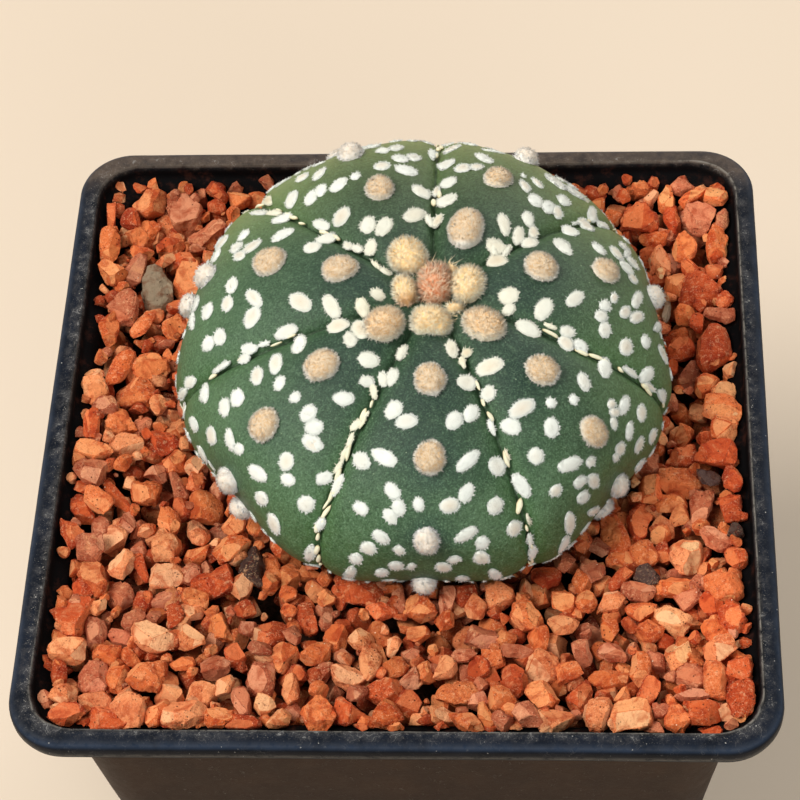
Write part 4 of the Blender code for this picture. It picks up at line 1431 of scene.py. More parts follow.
# the large chips of the CAD: middle x, y, length, width, turn, colour class
CHIPS = """
-37.9 27.7 9.4 4.9 -77 g
33.5 40.2 5.4 5.6 0 r
-32.8 -36.5 5.5 5.4 -11 o
-25.4 -22.5 6.5 4.4 24 r
-37.6 14 5.5 5 19 o
38.9 -18 5.5 5 -65 t
-32.2 -16.6 5.6 4.6 -60 t
40.6 -10.2 7.1 3.4 -109 m
-40.6 3.8 5 4.8 0 o
-17.8 -37.3 5.8 4.1 -82 m
17.1 -27.6 4.9 4.8 0 o
8.2 -39.3 6 3.8 12 o
15.3 -37.2 5.4 4.1 -81 r
-40.2 -37 4.4 5 0 m
-36 -7.8 4.4 4.6 0 o
-34.4 1.1 5.1 3.9 -47 r
-31 38.4 6.3 3.2 38 m
38.4 -1.6 4.6 4 0 r
-6.6 -37.1 4.9 3.6 -37 t
37 -33.1 5.2 3.6 -83 t
-40.2 38.6 4.3 3.9 0 o
38.6 28.4 5.2 3.4 -84 o
-39.6 -15.4 3.8 4.2 0 t
24 -39.4 4.6 3.6 -90 r
-23.9 -29.2 3.7 4 0 o
-12.5 -27.6 4.6 3.2 -87 r
39.8 12.6 4.6 3.3 -92 m
25.8 -20.4 3.7 3.7 0 m
"""
# the other chips the photograph shows: x, y, length, width in its pixels, slope
# clockwise from the picture's right, and colour class
CHIPS_SEEN = """
155 287 56 36 80 g
148 204 32 26 0 o
170 224 29 24 70 t
138 232 31 22 0 o
193 192 27 17 0 m
185 212 36 34 0 m
110 246 32 20 90 o
111 271 25 20 40 o
135 265 33 17 115 m
123 305 30 27 0 m
108 328 33 20 90 o
142 325 28 15 120 o
173 324 26 22 90 o
119 365 40 18 125 o
148 362 42 30 -15 o
94 387 28 25 0 t
136 388 41 26 0 o
186 279 48 27 95 o
207 232 44 17 -30 m
217 207 18 15 0 r
239 202 24 14 0 o
130 217 20 18 0 r
171 243 25 12 0 r
111 214 24 9 90 r
641 183 30 21 0 o
682 184 24 18 -20 m
618 189 22 18 90 m
594 192 24 15 0 r
640 212 40 34 0 r
666 200 23 17 90 o
692 195 28 12 -35 o
715 197 24 15 20 o
699 217 32 29 0 m
672 220 27 18 90 r
718 240 37 23 85 o
722 218 22 14 90 m
685 246 28 24 90 o
661 258 29 23 90 t
655 236 30 18 0 o
670 281 31 24 80 o
702 282 46 40 0 r
725 296 19 18 0 r
684 315 21 17 0 o
696 324 15 15 0 r
719 313 32 14 10 m
716 345 46 36 100 r
679 334 21 17 0 o
682 347 28 20 0 r
689 370 28 23 90 m
707 382 26 20 -20 o
725 390 34 24 -10 t
667 308 28 8 100 g
118 420 38 30 0 o
91 423 27 17 90 r
104 403 26 16 0 m
140 423 24 16 -25 m
93 449 37 19 10 o
126 443 35 20 0 t
89 471 34 27 0 m
96 497 30 20 35 o
80 505 30 20 55 r
123 463 18 16 0 o
116 494 42 14 55 r
145 489 34 30 0 o
155 471 22 18 0 m
175 459 26 22 0 o
167 436 34 28 45 r
72 532 30 22 65 r
116 535 30 28 0 t
89 545 30 26 0 m
126 521 20 18 90 m
166 543 38 36 60 t
168 521 26 24 90 o
206 504 36 28 10 o
177 484 30 16 60 m
195 481 24 18 90 r
93 573 38 28 50 o
122 565 30 22 110 t
141 567 30 12 70 r
167 576 34 24 0 t
83 583 24 22 0 r
212 580 52 30 -20 r
120 594 27 25 0 m
161 597 38 14 -15 m
142 599 20 20 0 r
75 615 40 38 90 r
94 626 28 22 100 m
190 608 26 18 10 t
195 596 26 18 25 o
134 621 26 18 -30 m
175 613 26 18 80 r
220 620 28 28 0 o
156 638 48 28 0 t
722 408 40 26 0 o
725 427 28 26 0 o
685 435 23 20 90 o
677 452 36 26 0 r
717 454 42 28 -10 r
679 480 44 26 10 o
708 475 26 14 20 d
706 504 48 27 110 m
732 480 27 20 90 r
730 507 30 24 90 r
651 489 26 24 90 o
670 501 34 16 0 o
639 518 46 25 105 r
681 513 28 18 120 o
661 532 20 18 0 o
613 533 38 32 80 o
690 553 40 38 60 t
716 539 34 20 20 m
735 530 18 15 0 d
736 553 26 23 90 r
621 555 30 20 0 o
644 552 26 24 60 o
662 550 18 16 0 r
647 575 26 20 0 d
673 585 38 20 -20 o
638 592 34 18 5 m
612 600 28 20 0 t
725 585 40 32 0 o
690 598 26 20 -20 m
642 610 32 18 -5 o
732 617 30 26 30 r
712 600 24 22 0 r
673 620 38 24 10 t
717 630 30 26 0 o
602 578 22 16 -30 o
619 579 28 14 130 r
709 435 24 14 20 r
685 611 32 16 10 r
610 630 24 18 90 o
648 630 30 22 20 o
67 649 36 22 0 t
108 655 30 24 -20 o
86 673 36 36 0 m
116 677 26 24 90 o
148 671 44 40 10 o
58 672 23 16 90 r
62 694 28 23 0 t
67 715 38 22 0 r
107 716 44 28 0 r
128 708 38 36 0 t
153 716 22 20 90 o
183 713 48 30 0 t
219 716 30 20 0 o
199 691 30 26 30 t
216 665 30 22 0 m
183 663 26 14 0 o
224 687 24 18 -50 t
241 700 30 18 75 m
261 677 42 34 85 m
244 722 36 14 5 r
265 704 22 20 0 t
278 717 26 18 -10 t
290 688 32 18 80 t
284 657 28 28 0 o
316 653 32 20 -10 o
260 649 24 14 0 m
320 671 32 16 -50 m
346 676 38 28 35 t
371 660 42 24 95 t
318 714 34 32 60 o
347 708 36 28 0 r
382 691 40 26 -15 r
387 714 30 28 -40 o
395 667 28 20 0 o
409 678 20 20 0 m
425 671 22 20 90 o
445 667 24 22 0 t
464 655 26 12 0 m
466 669 17 14 90 m
479 667 22 22 0 r
493 657 24 20 0 o
517 653 32 14 5 m
513 678 40 34 80 r
544 664 36 32 0 t
458 692 50 28 -10 o
478 696 20 18 0 m
501 699 30 26 40 o
542 694 34 30 0 o
528 714 32 22 0 m
556 721 36 24 0 t
573 694 34 28 90 r
466 721 38 20 10 o
502 720 22 20 0 m
441 713 24 16 10 t
485 713 28 14 75 o
597 713 36 28 100 t
633 713 42 38 0 t
610 678 42 18 0 o
607 690 24 16 0 r
624 669 22 18 90 o
569 670 26 20 -10 o
611 654 28 18 -10 m
640 669 32 22 85 o
648 693 34 20 110 r
654 656 22 22 0 m
679 651 38 28 80 t
691 676 30 26 0 m
694 694 38 12 5 m
717 678 38 26 80 o
740 669 28 26 0 r
741 699 38 28 90 r
705 713 40 26 0 r
678 718 30 28 90 o
711 730 24 10 0 r
660 710 16 14 0 m
653 725 22 14 0 m
720 647 34 28 10 t
158 405 18 16 0 t
251 565 44 26 80 d
272 565 40 16 75 o
290 571 28 22 80 o
231 548 34 22 -40 o
234 526 24 20 0 o
199 533 22 18 0 t
189 571 24 20 0 m
582 541 22 20 0 r
590 561 28 24 0 m
545 576 30 22 10 r
582 581 28 20 90 o
306 604 32 24 90 r
326 598 20 18 0 o
288 594 18 16 0 o
360 591 48 24 10 r
380 600 28 14 0 t
399 600 26 14 80 m
420 607 34 22 0 o
382 613 32 16 0 r
447 600 32 16 100 m
466 594 24 22 0 r
476 607 26 22 90 t
500 594 30 28 0 t
527 611 40 34 0 o
564 600 28 24 90 o
586 600 22 22 0 o
494 613 16 12 0 r
"""

rng = np.random.default_rng(31)
taken = []          # x, y, reach, top
n = 0
for row in CHIPS.strip().splitlines():
    n += 1
    x, y, L, W, turn, kind = row.split()
    x, y, L, W, turn = map(float, (x, y, L, W, turn))
    lo, hi = (np.array(c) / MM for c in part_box(f"chip_{n:02d}"))
    H = hi[2] - lo[2]
    pts, tris, facet = stone_shape(rng, L, W, H + 0.7, 0.48)
    pts = turned(pts, math.radians(turn), rng.uniform(-0.10, 0.10), rng.uniform(-0.10, 0.10))
    x, y = (lo[0] + hi[0]) / 2, (lo[1] + hi[1]) / 2
    pts = pts + (x, y, hi[2] - pts[:, 2].max())
    heap = Heap()
    heap.add(held_in(pts), tris, facet, kind, rng)
    ob = heap.build(f"stone_{n:02d}", CHIP_MAT)
    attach(ob, "root")
    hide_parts(f"chip_{n:02d}")
    taken.append((x, y, (L + W) / 4, hi[2]))

SEEN_AT = 86.4      # level of the chips' widest outlines
seen = []


def banked(x, y):
    """How much higher the chips lie where they lean on the pot's wall."""
    t = np.clip((max(abs(x), -y) - 37.5) / 5.0, 0, 1)
    return 1.9 * t * t * (3 - 2 * t)


for row in CHIPS_SEEN.strip().splitlines():
    a = row.split()
    px, py, lw, ww, slope = map(float, a[:5])
    c = on_level(px, py, SEEN_AT)
    bank = banked(c[0], c[1])
    level = SEEN_AT + bank
    c = on_level(px, py, level)
    s = math.radians(slope)
    e = on_level(px + 10 * math.cos(s), py + 10 * math.sin(s), level) - c
    w = on_level(px - 10 * math.sin(s), py + 10 * math.cos(s), level) - c
    seen.append([c[0], c[1], lw * np.linalg.norm(e) / 10 * 1.06,
                 ww * np.linalg.norm(w) / 10 * 1.06, math.atan2(e[1], e[0]), a[5], bank])
seen.sort(key=lambda g: -g[2] * g[3])
heaps = Heap(), Heap()
for x, y, L, W, yaw, kind, bank in seen:
    if any(math.hypot(x - t[0], y - t[1]) < 1.6 for t in taken[:28]):
        continue
    H = min(L, W) * rng.uniform(0.66, 0.90) if W > 2 else 1.6
    top = 87.5 + bank + rng.uniform(-0.5, 0.4) + 0.22 * (min(L, W) - 3.5)
    reach = (L + W) / 4
    over = max([0.0] + [(reach + t[2] - math.hypot(x - t[0], y - t[1]))
                        / min(reach, t[2]) for t in taken])
    top = min(89.5, top - min(1.5, max(0.0, over - 0.25) * 1.4))
    tilt = rng.uniform(-0.24, 0.24, 2)
    pts, tris, facet = stone_shape(rng, L, W, H, 0.64, cuts=int(rng.integers(6, 10)),
                                   scoops=int(rng.integers(0, 3)))
    pts = turned(pts, yaw, *tilt)
    # a tilted chip keeps the outline that was measured
    s, c = math.sin(yaw), math.cos(yaw)
    for axis, want in (((c, s), L), ((-s, c), W)):
        axis = np.array(axis)
        along = pts[:, :2] @ axis
        span = along.max() - along.min()
        pts[:, :2] += np.outer(along * (want / span - 1), axis)
    pts = pts + (x, y, top - pts[:, 2].max())
    heaps[int(y > 0)].add(held_in(pts), tris, facet, kind, rng)
    taken.append((x, y, reach, top))

# chips where the photograph shows none, and those below: shapes reused, turned
# and resized
deck = [stone_shape(rng, 1.0, rng.uniform(0.60, 0.95), rng.uniform(0.55, 0.8), 0.33)
        for _ in range(26)]
coarse = [stone_shape(rng, 1.0, rng.uniform(0.60, 0.95), rng.uniform(0.55, 0.8), 0.46,
                      worn=0.0, scoops=0) for _ in range(20)]
plain = [stone_shape(rng, 1.0, rng.uniform(0.62, 0.95), rng.uniform(0.55, 0.8), 0.5,
                     cuts=7, worn=0.0, scoops=0) for _ in range(14)]
KINDS = ["o"] * 8 + ["r"] * 6 + ["m"] * 3 + ["t"] * 4


def skin_gap(x, y, z):
    """How far outside the skin a point is; negative inside."""
    v = Vector((x, y, z))
    hit, m, _, _ = SKIN_TREE.find_nearest(v)
    return (v - hit).dot(m)


def strew(heap, shapes, gap, size, tops, avoid, rng, count=4000, shade=1.0, beyond=0.0):
    put = []
    for _ in range(count):
        x, y = rng.uniform(-46, 46, 2)
        L = rng.uniform(*size)
        if max(abs(x), abs(y)) < beyond:
            continue
        top = rng.uniform(*tops)
        edge = room(top) - L * 0.27
        if abs(x) > edge or abs(y) > edge:
            continue
        if any((x - a) ** 2 + (y - b) ** 2 < (gap * (L / 2 + c)) ** 2 for a, b, c in put):
            continue
        if avoid and any(t[3] > top - 1.5 and (x - t[0]) ** 2 + (y - t[1]) ** 2
                         < (avoid * (L / 2 + t[2])) ** 2 for t in taken):
            continue
        if skin_gap(x, y, top - L * 0.3) < L * 0.22:
            continue
        pts, tris, facet = shapes[int(rng.integers(len(shapes)))]
        pts = turned(pts * L, rng.uniform(0, TAU), rng.uniform(-0.9, 0.9), rng.uniform(-0.9, 0.9))
        pts = pts + (x, y, top - pts[:, 2].max())
        heap.add(held_in(pts), tris, facet, KINDS[int(rng.integers(len(KINDS)))], rng, shade)
        put.append((x, y, L / 2))
    return [(x, y, r, tops[1]) for x, y, r in put]


fill = Heap()
taken += strew(fill, deck, 0.86, (3.0, 5.0), (86.6, 87.8), 0.76, rng)
# those that lean on the wall lie higher
taken += strew(fill, deck, 0.84, (2.4, 4.2), (87.4, 88.6), 0.72, rng, beyond=40.0)
# the small chips in the gaps by the wall are painted darker (shade 0.9): painted shade of the rim
strew(fill, coarse, 0.80, (1.6, 3.0), (87.6, 88.9), 0.50, rng, shade=0.9, beyond=43.0)
taken += strew(fill, deck, 0.80, (1.6, 3.2), (86.4, 87.6), 0.76, rng)
# the chips below are painted darker the deeper they lie (shade below 1): painted shade
under = Heap()
strew(under, coarse, 0.76, (2.6, 4.4), (85.4, 86.8), 0.0, rng, shade=0.80)
strew(under, plain, 0.74, (3.4, 5.0), (83.2, 84.8), 0.0, rng, shade=0.55)
# the crumbs are painted darker too (shade 0.7): painted shade
crumbs = Heap()
strew(crumbs, plain, 0.9, (0.6, 1.5), (85.6, 86.8), 0.60, rng, count=600, shade=0.7)
ob = heaps[0].build("gravel_front", CLAY_MAT)
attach(ob, "root")
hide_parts("gravel_bed")
for ob in (heaps[1].build("gravel_back", CLAY_MAT), fill.build("gravel_fill", CLAY_MAT), under.build("gravel_below", CLAY_MAT),
           crumbs.build("gravel_crumbs", CLAY_MAT)):
    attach(ob, "root")


def soil_look():
    k = Look("potting_mix_look", rough=0.95, spec=0.15)
    a, b = k.noise(1.4, 4, 0.7), k.noise(0.3, 2, 0.6)
    c = k.mix(k.step(a, 0.35, 0.65), srgb(34, 20, 14), srgb(74, 48, 34))
    k.colour(k.mix(k.step(b, 0.6, 0.8, 0.0, 0.4), c, srgb(120, 82, 58)))
    k.bump(a, 0.5)
    return k.mat


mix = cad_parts["potting_mix"]
mix.data.materials.clear()
mix.data.materials.append(soil_look())

# =================================================================== the pot
def rounded_square(half, r, z, per_corner=14, per_side=44):
    """Points round a square with rounded corners."""
    pts = []
    c = half - r
    for k, (sx, sy) in enumerate(((1, 1), (-1, 1), (-1, -1), (1, -1))):
        for i in range(per_corner + 1):
            a = (k + i / per_corner) * math.pi / 2
            pts.append((sx * c + r * math.cos(a), sy * c + r * math.sin(a), z))
        nx, ny = ((-1, 1), (-1, -1), (1, -1), (1, 1))[k]
        a = (k + 1) * math.pi / 2
        p = (sx * c + r * math.cos(a), sy * c + r * math.sin(a))
        q = (nx * c + r * math.cos(a), ny * c + r * math.sin(a))
        for i in range(1, per_side):
            t = i / per_side
            pts.append((p[0] + (q[0] - p[0]) * t, p[1] + (q[1] - p[1]) * t, z))
    return np.array(pts)


def wall_half(z):
    return WALL_HALF_TOP - WALL_TAPER * (POT_HEIGHT - z)


def wall_corner(z):
    return CORNER_BASE + (CORNER_TOP - CORNER_BASE) * z / POT_HEIGHT


H = POT_HEIGHT
skirt, ledge = H - SKIRT_DROP, H - LEDGE_DROP
# half width, corner radius, level, wear (pale rubbed edge), dust
PROFILE = [
    (wall_half(0) - 1.0, wall_corner(0) - 1.0, 0.0, 0.1, 0.3),
    (wall_half(0) - 0.5, wall_corner(0) - 0.5, 0.12, 0.8, 0.3),
    (wall_half(0.8), wall_corner(0.8), 0.8, 0.5, 0.3)]
for z in (2, 12, 24, 36, 48, 58, 68, 76, 84):
    PROFILE.append((wall_half(z), wall_corner(z), z, 0.0, 0.10))
PROFILE += [
    (wall_half(skirt - 0.25), wall_corner(skirt), skirt - 0.25, 0.0, 0.8),
    (wall_half(skirt) + 0.2, wall_corner(skirt) + 0.2, skirt, 0.0, 0.9),
    (RIM_HALF - 0.62, RIM_CORNER_R - 0.5, skirt, 0.2, 0.4),
    (RIM_HALF - 0.38, RIM_CORNER_R - 0.3, skirt + 0.08, 0.5, 0.1),
    (RIM_HALF - 0.24, RIM_CORNER_R - 0.2, skirt + 0.26, 0.08, 0.05),
    (RIM_HALF - 0.22, RIM_CORNER_R - 0.2, ledge - 0.22, 0.0, 0.05),
    (RIM_HALF - 0.16, RIM_CORNER_R - 0.15, ledge - 0.08, 0.0, 0.5),
    (RIM_HALF - 0.03, RIM_CORNER_R, ledge + 0.06, 0.7, 0.2),
    (RIM_HALF, RIM_CORNER_R, ledge + 0.22, 0.35, 0.0),
    (RIM_HALF, RIM_CORNER_R, H - 1.75, 0.0, 0.0),
    (RIM_HALF, RIM_CORNER_R, H - 1.15, 0.0, 0.0),
    (RIM_HALF - 0.05, RIM_CORNER_R - 0.05, H - 0.86, 0.0, 0.0),
    (RIM_HALF - 0.18, RIM_CORNER_R - 0.16, H - 0.58, 0.0, 0.0),
    (RIM_HALF - 0.38, RIM_CORNER_R - 0.34, H - 0.34, 0.08, 0.0),
    (RIM_HALF - 0.66, RIM_CORNER_R - 0.56, H - 0.15, 0.05, 0.05),
    (RIM_HALF - 0.96, RIM_CORNER_R - 0.76, H - 0.04, 0.0, 0.2),
    (RIM_HALF - 1.25, RIM_CORNER_R - 0.9, H, 0.0, 0.45),
    (RIM_HALF - 2.00, RIM_CORNER_R - 1.2, H, 0.0, 1.0),
    (RIM_HALF - 2.64, RIM_CORNER_R - 1.4, H, 0.05, 1.0),
    (RIM_HALF - 2.74, RIM_CORNER_R - 1.4, H + 0.07, 1.0, 0.5),
    (RIM_HALF - 2.85, RIM_CORNER_R - 1.4, H + 0.04, 1.0, 0.6),
    (RIM_HALF - 2.93, RIM_CORNER_R - 1.4, H - 0.14, 0.3, 0.9),
    (RIM_HALF - 3.03, RIM_CORNER_R - 1.35, H - 0.45, 0.05, 0.7),
    (RIM_HALF - 3.12, RIM_CORNER_R - 1.3, H - 0.95, 0.05, 0.5),
    (RIM_HALF - 3.18, RIM_CORNER_R - 1.25, H - 1.5, 0.0, 0.4),
    (RIM_HALF - 3.25, RIM_CORNER_R - 1.2, H - 2.0, 0.0, 0.4),
    (RIM_HALF - 3.6, RIM_CORNER_R - 1.0, H - 2.4, 0.1, 0.3),
    (inner_half(H - 3.2) + 0.3, wall_corner(H - 3.2) - WALL_T, H - 3.2, 0.0, 0.6),
]
for z in (H - 4, 80.0, 60.0, 40.0, 20.0, BASE_T + 1.2):
    PROFILE.append((inner_half(z), wall_corner(z) - WALL_T, z, 0.0, 0.8))
PROFILE.append((inner_half(BASE_T) - 1.0, wall_corner(0) - WALL_T - 1.0, BASE_T, 0.0, 0.8))
rings = [rounded_square(*p[:3]) for p in PROFILE]
N = len(rings[0])
pot_v = np.concatenate(rings)
INNER = next(n for n, p in enumerate(PROFILE) if abs(p[0] - (RIM_HALF - 2.64)) < 1e-6)
wear = np.repeat([(p[3], p[4], 1.0 if p[2] < skirt - 0.1 and n < 14 else 0.0)
                  for n, p in enumerate(PROFILE)], N, axis=0)
# r the rounded shoulder, where a sky reflection is painted, g the pot's inside, where shade is painted, b the
# wall just under the skirt
bands = np.repeat([(float(np.clip(1 - abs(p[2] - (H - 0.42)) / 0.5, 0, 1)) * (n < INNER),
                    float(np.clip((H - 0.2 - p[2]) / 0.8, 0, 1)) * (n > INNER + 2),
                    float(n < 14 and p[2] > skirt - 1.5))
                   for n, p in enumerate(PROFILE)], N, axis=0)
along = np.tile(np.arange(N), len(PROFILE))
# moulded plastic is never quite straight, and its edges are nicked
fl = []
for p, w in zip(pot_v, wear):
    v = Vector(p)
    d = noise.noise(v / 22.0) * 0.10 + noise.noise(v / 6.0) * 0.02
    if w[0] > 0:
        d -= max(0.0, noise.noise(v / 0.9 + Vector((3, 3, 3))) - 0.18) * 0.16 * w[0]
    fl.append(d)
fl = np.array(fl)
outward_dir = pot_v * (1, 1, 0)
outward_dir = unit(outward_dir)
pot_v = pot_v + outward_dir * fl[:, None] * np.where(pot_v[:, 2:3] > 1.0, 1, 0)
# the flash along the inner edge comes and goes, and is strongest on the right
flash = np.array([0.5 + 0.5 * noise.noise(Vector(p) / 3.0) + 0.35 * noise.noise(Vector(p) / 0.8)
                  for p in pot_v])
# the inner edge is sharper, and lies further out, on the right and at the front
lead = np.clip((np.maximum(pot_v[:, 0], -pot_v[:, 1]) - 22.0) / 18.0, 0, 1)
lead = lead * lead * (3 - 2 * lead)
flash = np.clip(flash + 0.30 * (pot_v[:, 0] > 40), 0.05, 1.3) * (0.25 + 0.75 * lead)
row = np.repeat(np.arange(len(PROFILE)), N)
moved = (0.26 + 0.12 * (pot_v[:, 1] < -44)) * lead * np.interp(row, (INNER - 1, INNER, INNER + 9, INNER + 10), (0, 1, 1, 0))
pot_v[:, :2] += outward_dir[:, :2] * moved[:, None] * (np.abs(pot_v[:, :2]) > 44)
is_flash = pot_v[:, 2] > H + 0.01
pot_v[is_flash, 2] = H + (pot_v[is_flash, 2] - H) * flash[is_flash] * 2.0
wear[is_flash, 0] *= flash[is_flash]
faces = []
for j in range(len(PROFILE) - 1):
    i = np.arange(N)
    a, b = j * N + i, j * N + (i + 1) % N
    faces += np.stack([a, b, b + N, a + N], 1).tolist()
faces.append(list(range(N - 1, -1, -1)))
faces.append([(len(PROFILE) - 1) * N + i for i in range(N)])


def plastic_look():
    k = Look("pot_plastic", rough=0.42, spec=0.04)
    z = k.t.nodes.new("ShaderNodeSeparateColor")
    k.link(k.attr("wear"), z.inputs[0])
    worn, dusty, wall = z.outputs
    z = k.t.nodes.new("ShaderNodeSeparateColor")
    k.link(k.attr("bands"), z.inputs[0])
    painted_sky_reflection, inside, under = z.outputs
    x, y, up = k.split()
    # dust lies thickest on the rim's left side; at the back the rim's top carries a brown film, partly dust and
    # partly a painted reflection
    left, back, front = k.step(x, -40, -46), k.step(y, 40, 46), k.step(y, -40, -46)
    smear = k.noise(7.0, 4, 0.6, warp=0.6)
    blot = k.noise(1.6, 4, 0.65)
    fine = k.noise(0.22, 3, 0.65)
    base = k.mix(k.step(smear, 0.35, 0.7), srgb(15, 17, 22), srgb(24, 26, 32))
    # painted reflection of the sky on the rounded shoulder
    base = k.mix(k.math("MULTIPLY", painted_sky_reflection, k.step(smear, 0.3, 0.6, 0.5, 0.95)), base,
                 srgb(46, 58, 76))
    # grey bloom where dust has dried on
    dust_and_reflection_film = k.math("MULTIPLY", k.step(blot, 0.40, 0.66),
                  k.math("MULTIPLY", dusty, k.math("ADD", k.math("MULTIPLY", left, 0.10), 0.46)))
    # at the back an even brown film on the rim's top: partly dust, partly painted reflection
    back_dust_and_reflection = k.math("MULTIPLY", back, k.math("MULTIPLY", k.step(up, 89.5, 89.95),
                                           k.step(blot, 0.25, 0.70, 0.22, 0.58)))
    dust_and_reflection_film = k.math("MAXIMUM", dust_and_reflection_film, back_dust_and_reflection)
    base = k.mix(dust_and_reflection_film, base, k.mix(back, srgb(80, 78, 78), srgb(112, 96, 82)))
    # the wall below the rim is painted an even brown, a painted reflection of the warm floor, less and less
    # further down
    dust_and_reflection_film = k.math("MULTIPLY", k.step(up, 30.0, 76.0, 0.30, 1.0), k.step(smear, 0.25, 0.75, 0.70, 0.95))
    base = k.mix(k.math("MULTIPLY", wall, dust_and_reflection_film), base, srgb(60, 44, 33))
    base = k.mix(k.math("MULTIPLY", under, 0.5), base, srgb(84, 62, 46))
    # fine pale grit, dense on the rim's dusty inner half
    grit = k.cells(0.30)
    pick = k.step(k.noise(0.75, 2, 0.7), 0.46, 0.62)
    dots = k.math("MULTIPLY", k.step(grit, 0.26, 0.10), pick)
    much = k.math("ADD", k.math("MULTIPLY", left, 0.30), k.math("MULTIPLY", back, -0.35))
    base = k.mix(k.math("MULTIPLY", dots, k.math("MULTIPLY", dusty, k.math("ADD", much, 0.60))),
                 base, srgb(164, 158, 148))
    haze = k.math("MULTIPLY", k.step(fine, 0.52, 0.74), k.math("MULTIPLY", dusty, 0.36))
    base = k.mix(haze, base, srgb(112, 107, 102))
    # scattered white specks, kept off the wall
    crumb = k.cells(1.1, at=k.place(move=(5.1, 2.7, 3.3)))
    rare = k.step(k.noise(1.9, 1, at=k.place(move=(4, 9, 1))), 0.52, 0.58)
    fleck = k.math("MULTIPLY", k.step(crumb, 0.11, 0.06), rare)
    fleck = k.math("MULTIPLY", fleck, k.step(k.noise(0.12, 1), 0.40, 0.52))
    fleck = k.math("MULTIPLY", fleck, k.math("SUBTRACT", 1.0, wall))
    base = k.mix(k.math("MULTIPLY", fleck, 0.7), base, srgb(200, 196, 188))
    # curly hair-thin scratches: level lines of a noise, here and there
    for size, move, much in ((1.5, 0.0, 0.45), (0.8, 6.0, 0.40)):
        s = k.noise(size, 1, 0.5, at=k.place(move=(move, move, 0)), warp=0.5)
        s = k.math("ABSOLUTE", k.math("SUBTRACT", s, 0.5))
        line = k.math("MULTIPLY", k.step(s, 0.013, 0.005), k.step(blot, 0.50, 0.62))
        amount = k.math("MULTIPLY", line, k.math("ADD", k.math("MULTIPLY", dusty, much),
                                                 k.math("ADD", k.math("MULTIPLY", front, 0.10), 0.0)))
        base = k.mix(amount, base, srgb(150, 148, 144))
    # rubbed edges
    rub = k.math("MULTIPLY", worn, k.step(k.noise(0.9, 3, 0.7), 0.30, 0.56))
    base = k.mix(k.math("MULTIPLY", rub, 0.62), base, srgb(146, 140, 130))
    # the inside is black plastic painted darker still, painted shade, with a little red-brown powder of the clay
    base = k.mix(inside, base, srgb(11, 10, 11))
    powder = k.math("MULTIPLY", inside, k.step(k.noise(2.2, 4, 0.7), 0.50, 0.72, 0.0, 0.6))
    base = k.mix(powder, base, srgb(62, 34, 26))
    k.colour(base)
    r = k.math("ADD", k.step(blot, 0.3, 0.7, 0.0, 0.10), k.math("MULTIPLY", dusty, 0.22))
    r = k.math("ADD", k.math("ADD", r, k.math("MULTIPLY", wall, 0.12)), 0.32)
    k.rough(k.math("ADD", r, k.math("MULTIPLY", inside, 0.25), clamp=True))
    k.bump(fine, 0.02)
    k.bump(blot, 0.03)
    return k.mat


PLASTIC = plastic_look()
pot = make_object("pot_shell", pot_v, faces, PLASTIC)
paint(pot, "wear", wear)
paint(pot, "bands", bands)
cutters = []
for x, y, r in ([(sx * HOLE_AT, sy * HOLE_AT, HOLE_R) for sx in (1, -1) for sy in (1, -1)]
                + [(SLOT_AT, 0, SLOT_R), (-SLOT_AT, 0, SLOT_R), (0, SLOT_AT, SLOT_R), (0, -SLOT_AT, SLOT_R)]):
    bm = bmesh.new()
    bmesh.ops.create_cone(bm, cap_ends=True, segments=40, radius1=r * MM, radius2=r * MM,
                          depth=(BASE_T + 4) * MM)
    bmesh.ops.translate(bm, vec=(x * MM, y * MM, BASE_T / 2 * MM), verts=bm.verts)
    me = bpy.data.meshes.new("drill")
    bm.to_mesh(me)
    bm.free()
    c = bpy.data.objects.new("drill", me)
    bpy.context.scene.collection.objects.link(c)
    m = pot.modifiers.new("hole", "BOOLEAN")
    m.operation, m.solver, m.object = "DIFFERENCE", "EXACT", c
    cutters.append(c)
bpy.context.view_layer.update()
solid = bpy.data.meshes.new_from_object(pot.evaluated_get(bpy.context.evaluated_depsgraph_get()))
pot.modifiers.clear()
pot.data = solid
for c in cutters:
    bpy.data.objects.remove(c)
pot.data.polygons.foreach_set("use_smooth", [True] * len(pot.data.polygons))
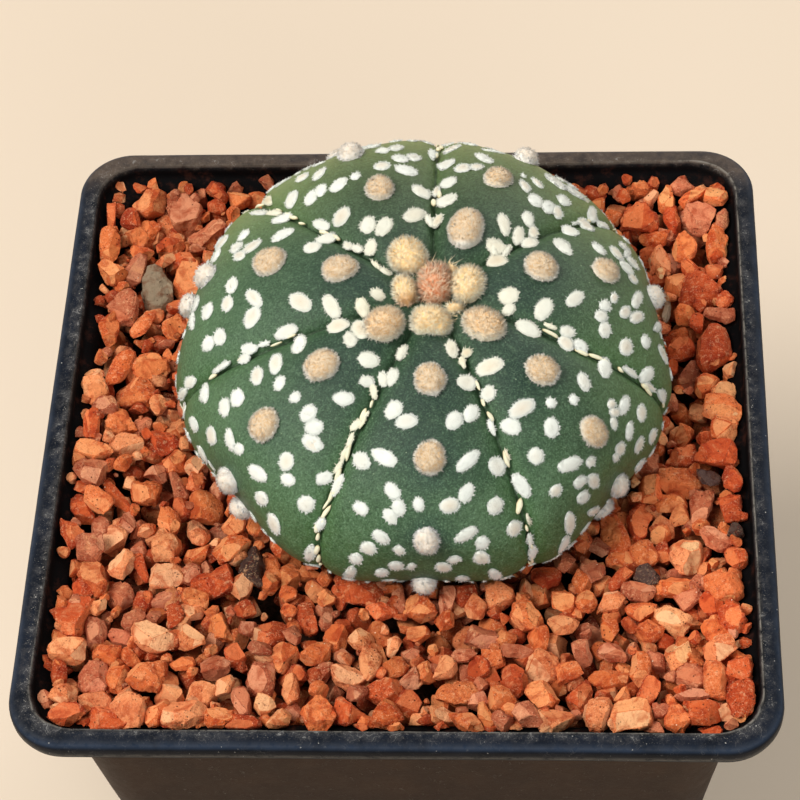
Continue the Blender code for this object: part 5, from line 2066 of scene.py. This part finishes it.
pot.data.set_sharp_from_angle(angle=math.radians(50))
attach(pot, "root")
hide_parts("pot")

# ====================================================== floor, light and camera
me = bpy.data.meshes.new("floor")
me.from_pydata([(-4, -4, 0), (4, -4, 0), (4, 4, 0), (-4, 4, 0)], [], [[0, 1, 2, 3]])
floor = bpy.data.objects.new("floor", me)
bpy.context.scene.collection.objects.link(floor)
k = Look("floor_plain", rough=0.75, spec=0.2)
k.colour(srgb(226, 208, 186))
me.materials.append(k.mat)
floor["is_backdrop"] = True


def softbox(name, where, size, power, colour=(1, 1, 1), aim=(0, 0, 0.09)):
    light = bpy.data.lights.new(name, "AREA")
    light.shape, light.size = "SQUARE", size
    light.energy, light.color = power, colour
    ob = bpy.data.objects.new(name, light)
    bpy.context.scene.collection.objects.link(ob)
    ob.location = where
    ob.rotation_euler = (Vector(aim) - Vector(where)).to_track_quat("-Z", "Y").to_euler()


softbox("key", (-0.42, -0.10, 0.72), 0.42, 5.9, (1.0, 0.985, 0.96))
softbox("front_fill", (0.30, -0.75, 0.45), 0.5, 2.5, (0.90, 0.96, 1.0))
softbox("back_fill", (0.35, 0.65, 0.55), 0.5, 3.0, (1.0, 0.98, 0.95))

world = bpy.data.worlds.new("studio")
bpy.context.scene.world = world
world.use_nodes = True
bg = world.node_tree.nodes["Background"]
bg.inputs["Color"].default_value = (1.0, 0.99, 0.97, 1.0)
bg.inputs["Strength"].default_value = 0.28

cam = bpy.data.cameras.new("camera")
cam.sensor_width, cam.lens = 36.0, FOCAL / 800 * 36.0
cam.clip_start, cam.clip_end = 0.01, 20.0
eye = bpy.data.objects.new("camera", cam)
bpy.context.scene.collection.objects.link(eye)
m = Matrix.Identity(4)
for i, axis in enumerate((RIGHT, -DOWN, -AHEAD)):
    for j in range(3):
        m[j][i] = axis[j]
m.translation = Vector(EYE * MM)
eye.matrix_world = m
bpy.context.scene.camera = eye
view = bpy.context.scene.view_settings
view.view_transform, view.look, view.exposure, view.gamma = "Standard", "None", 0.0, 1.0

lo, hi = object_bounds()
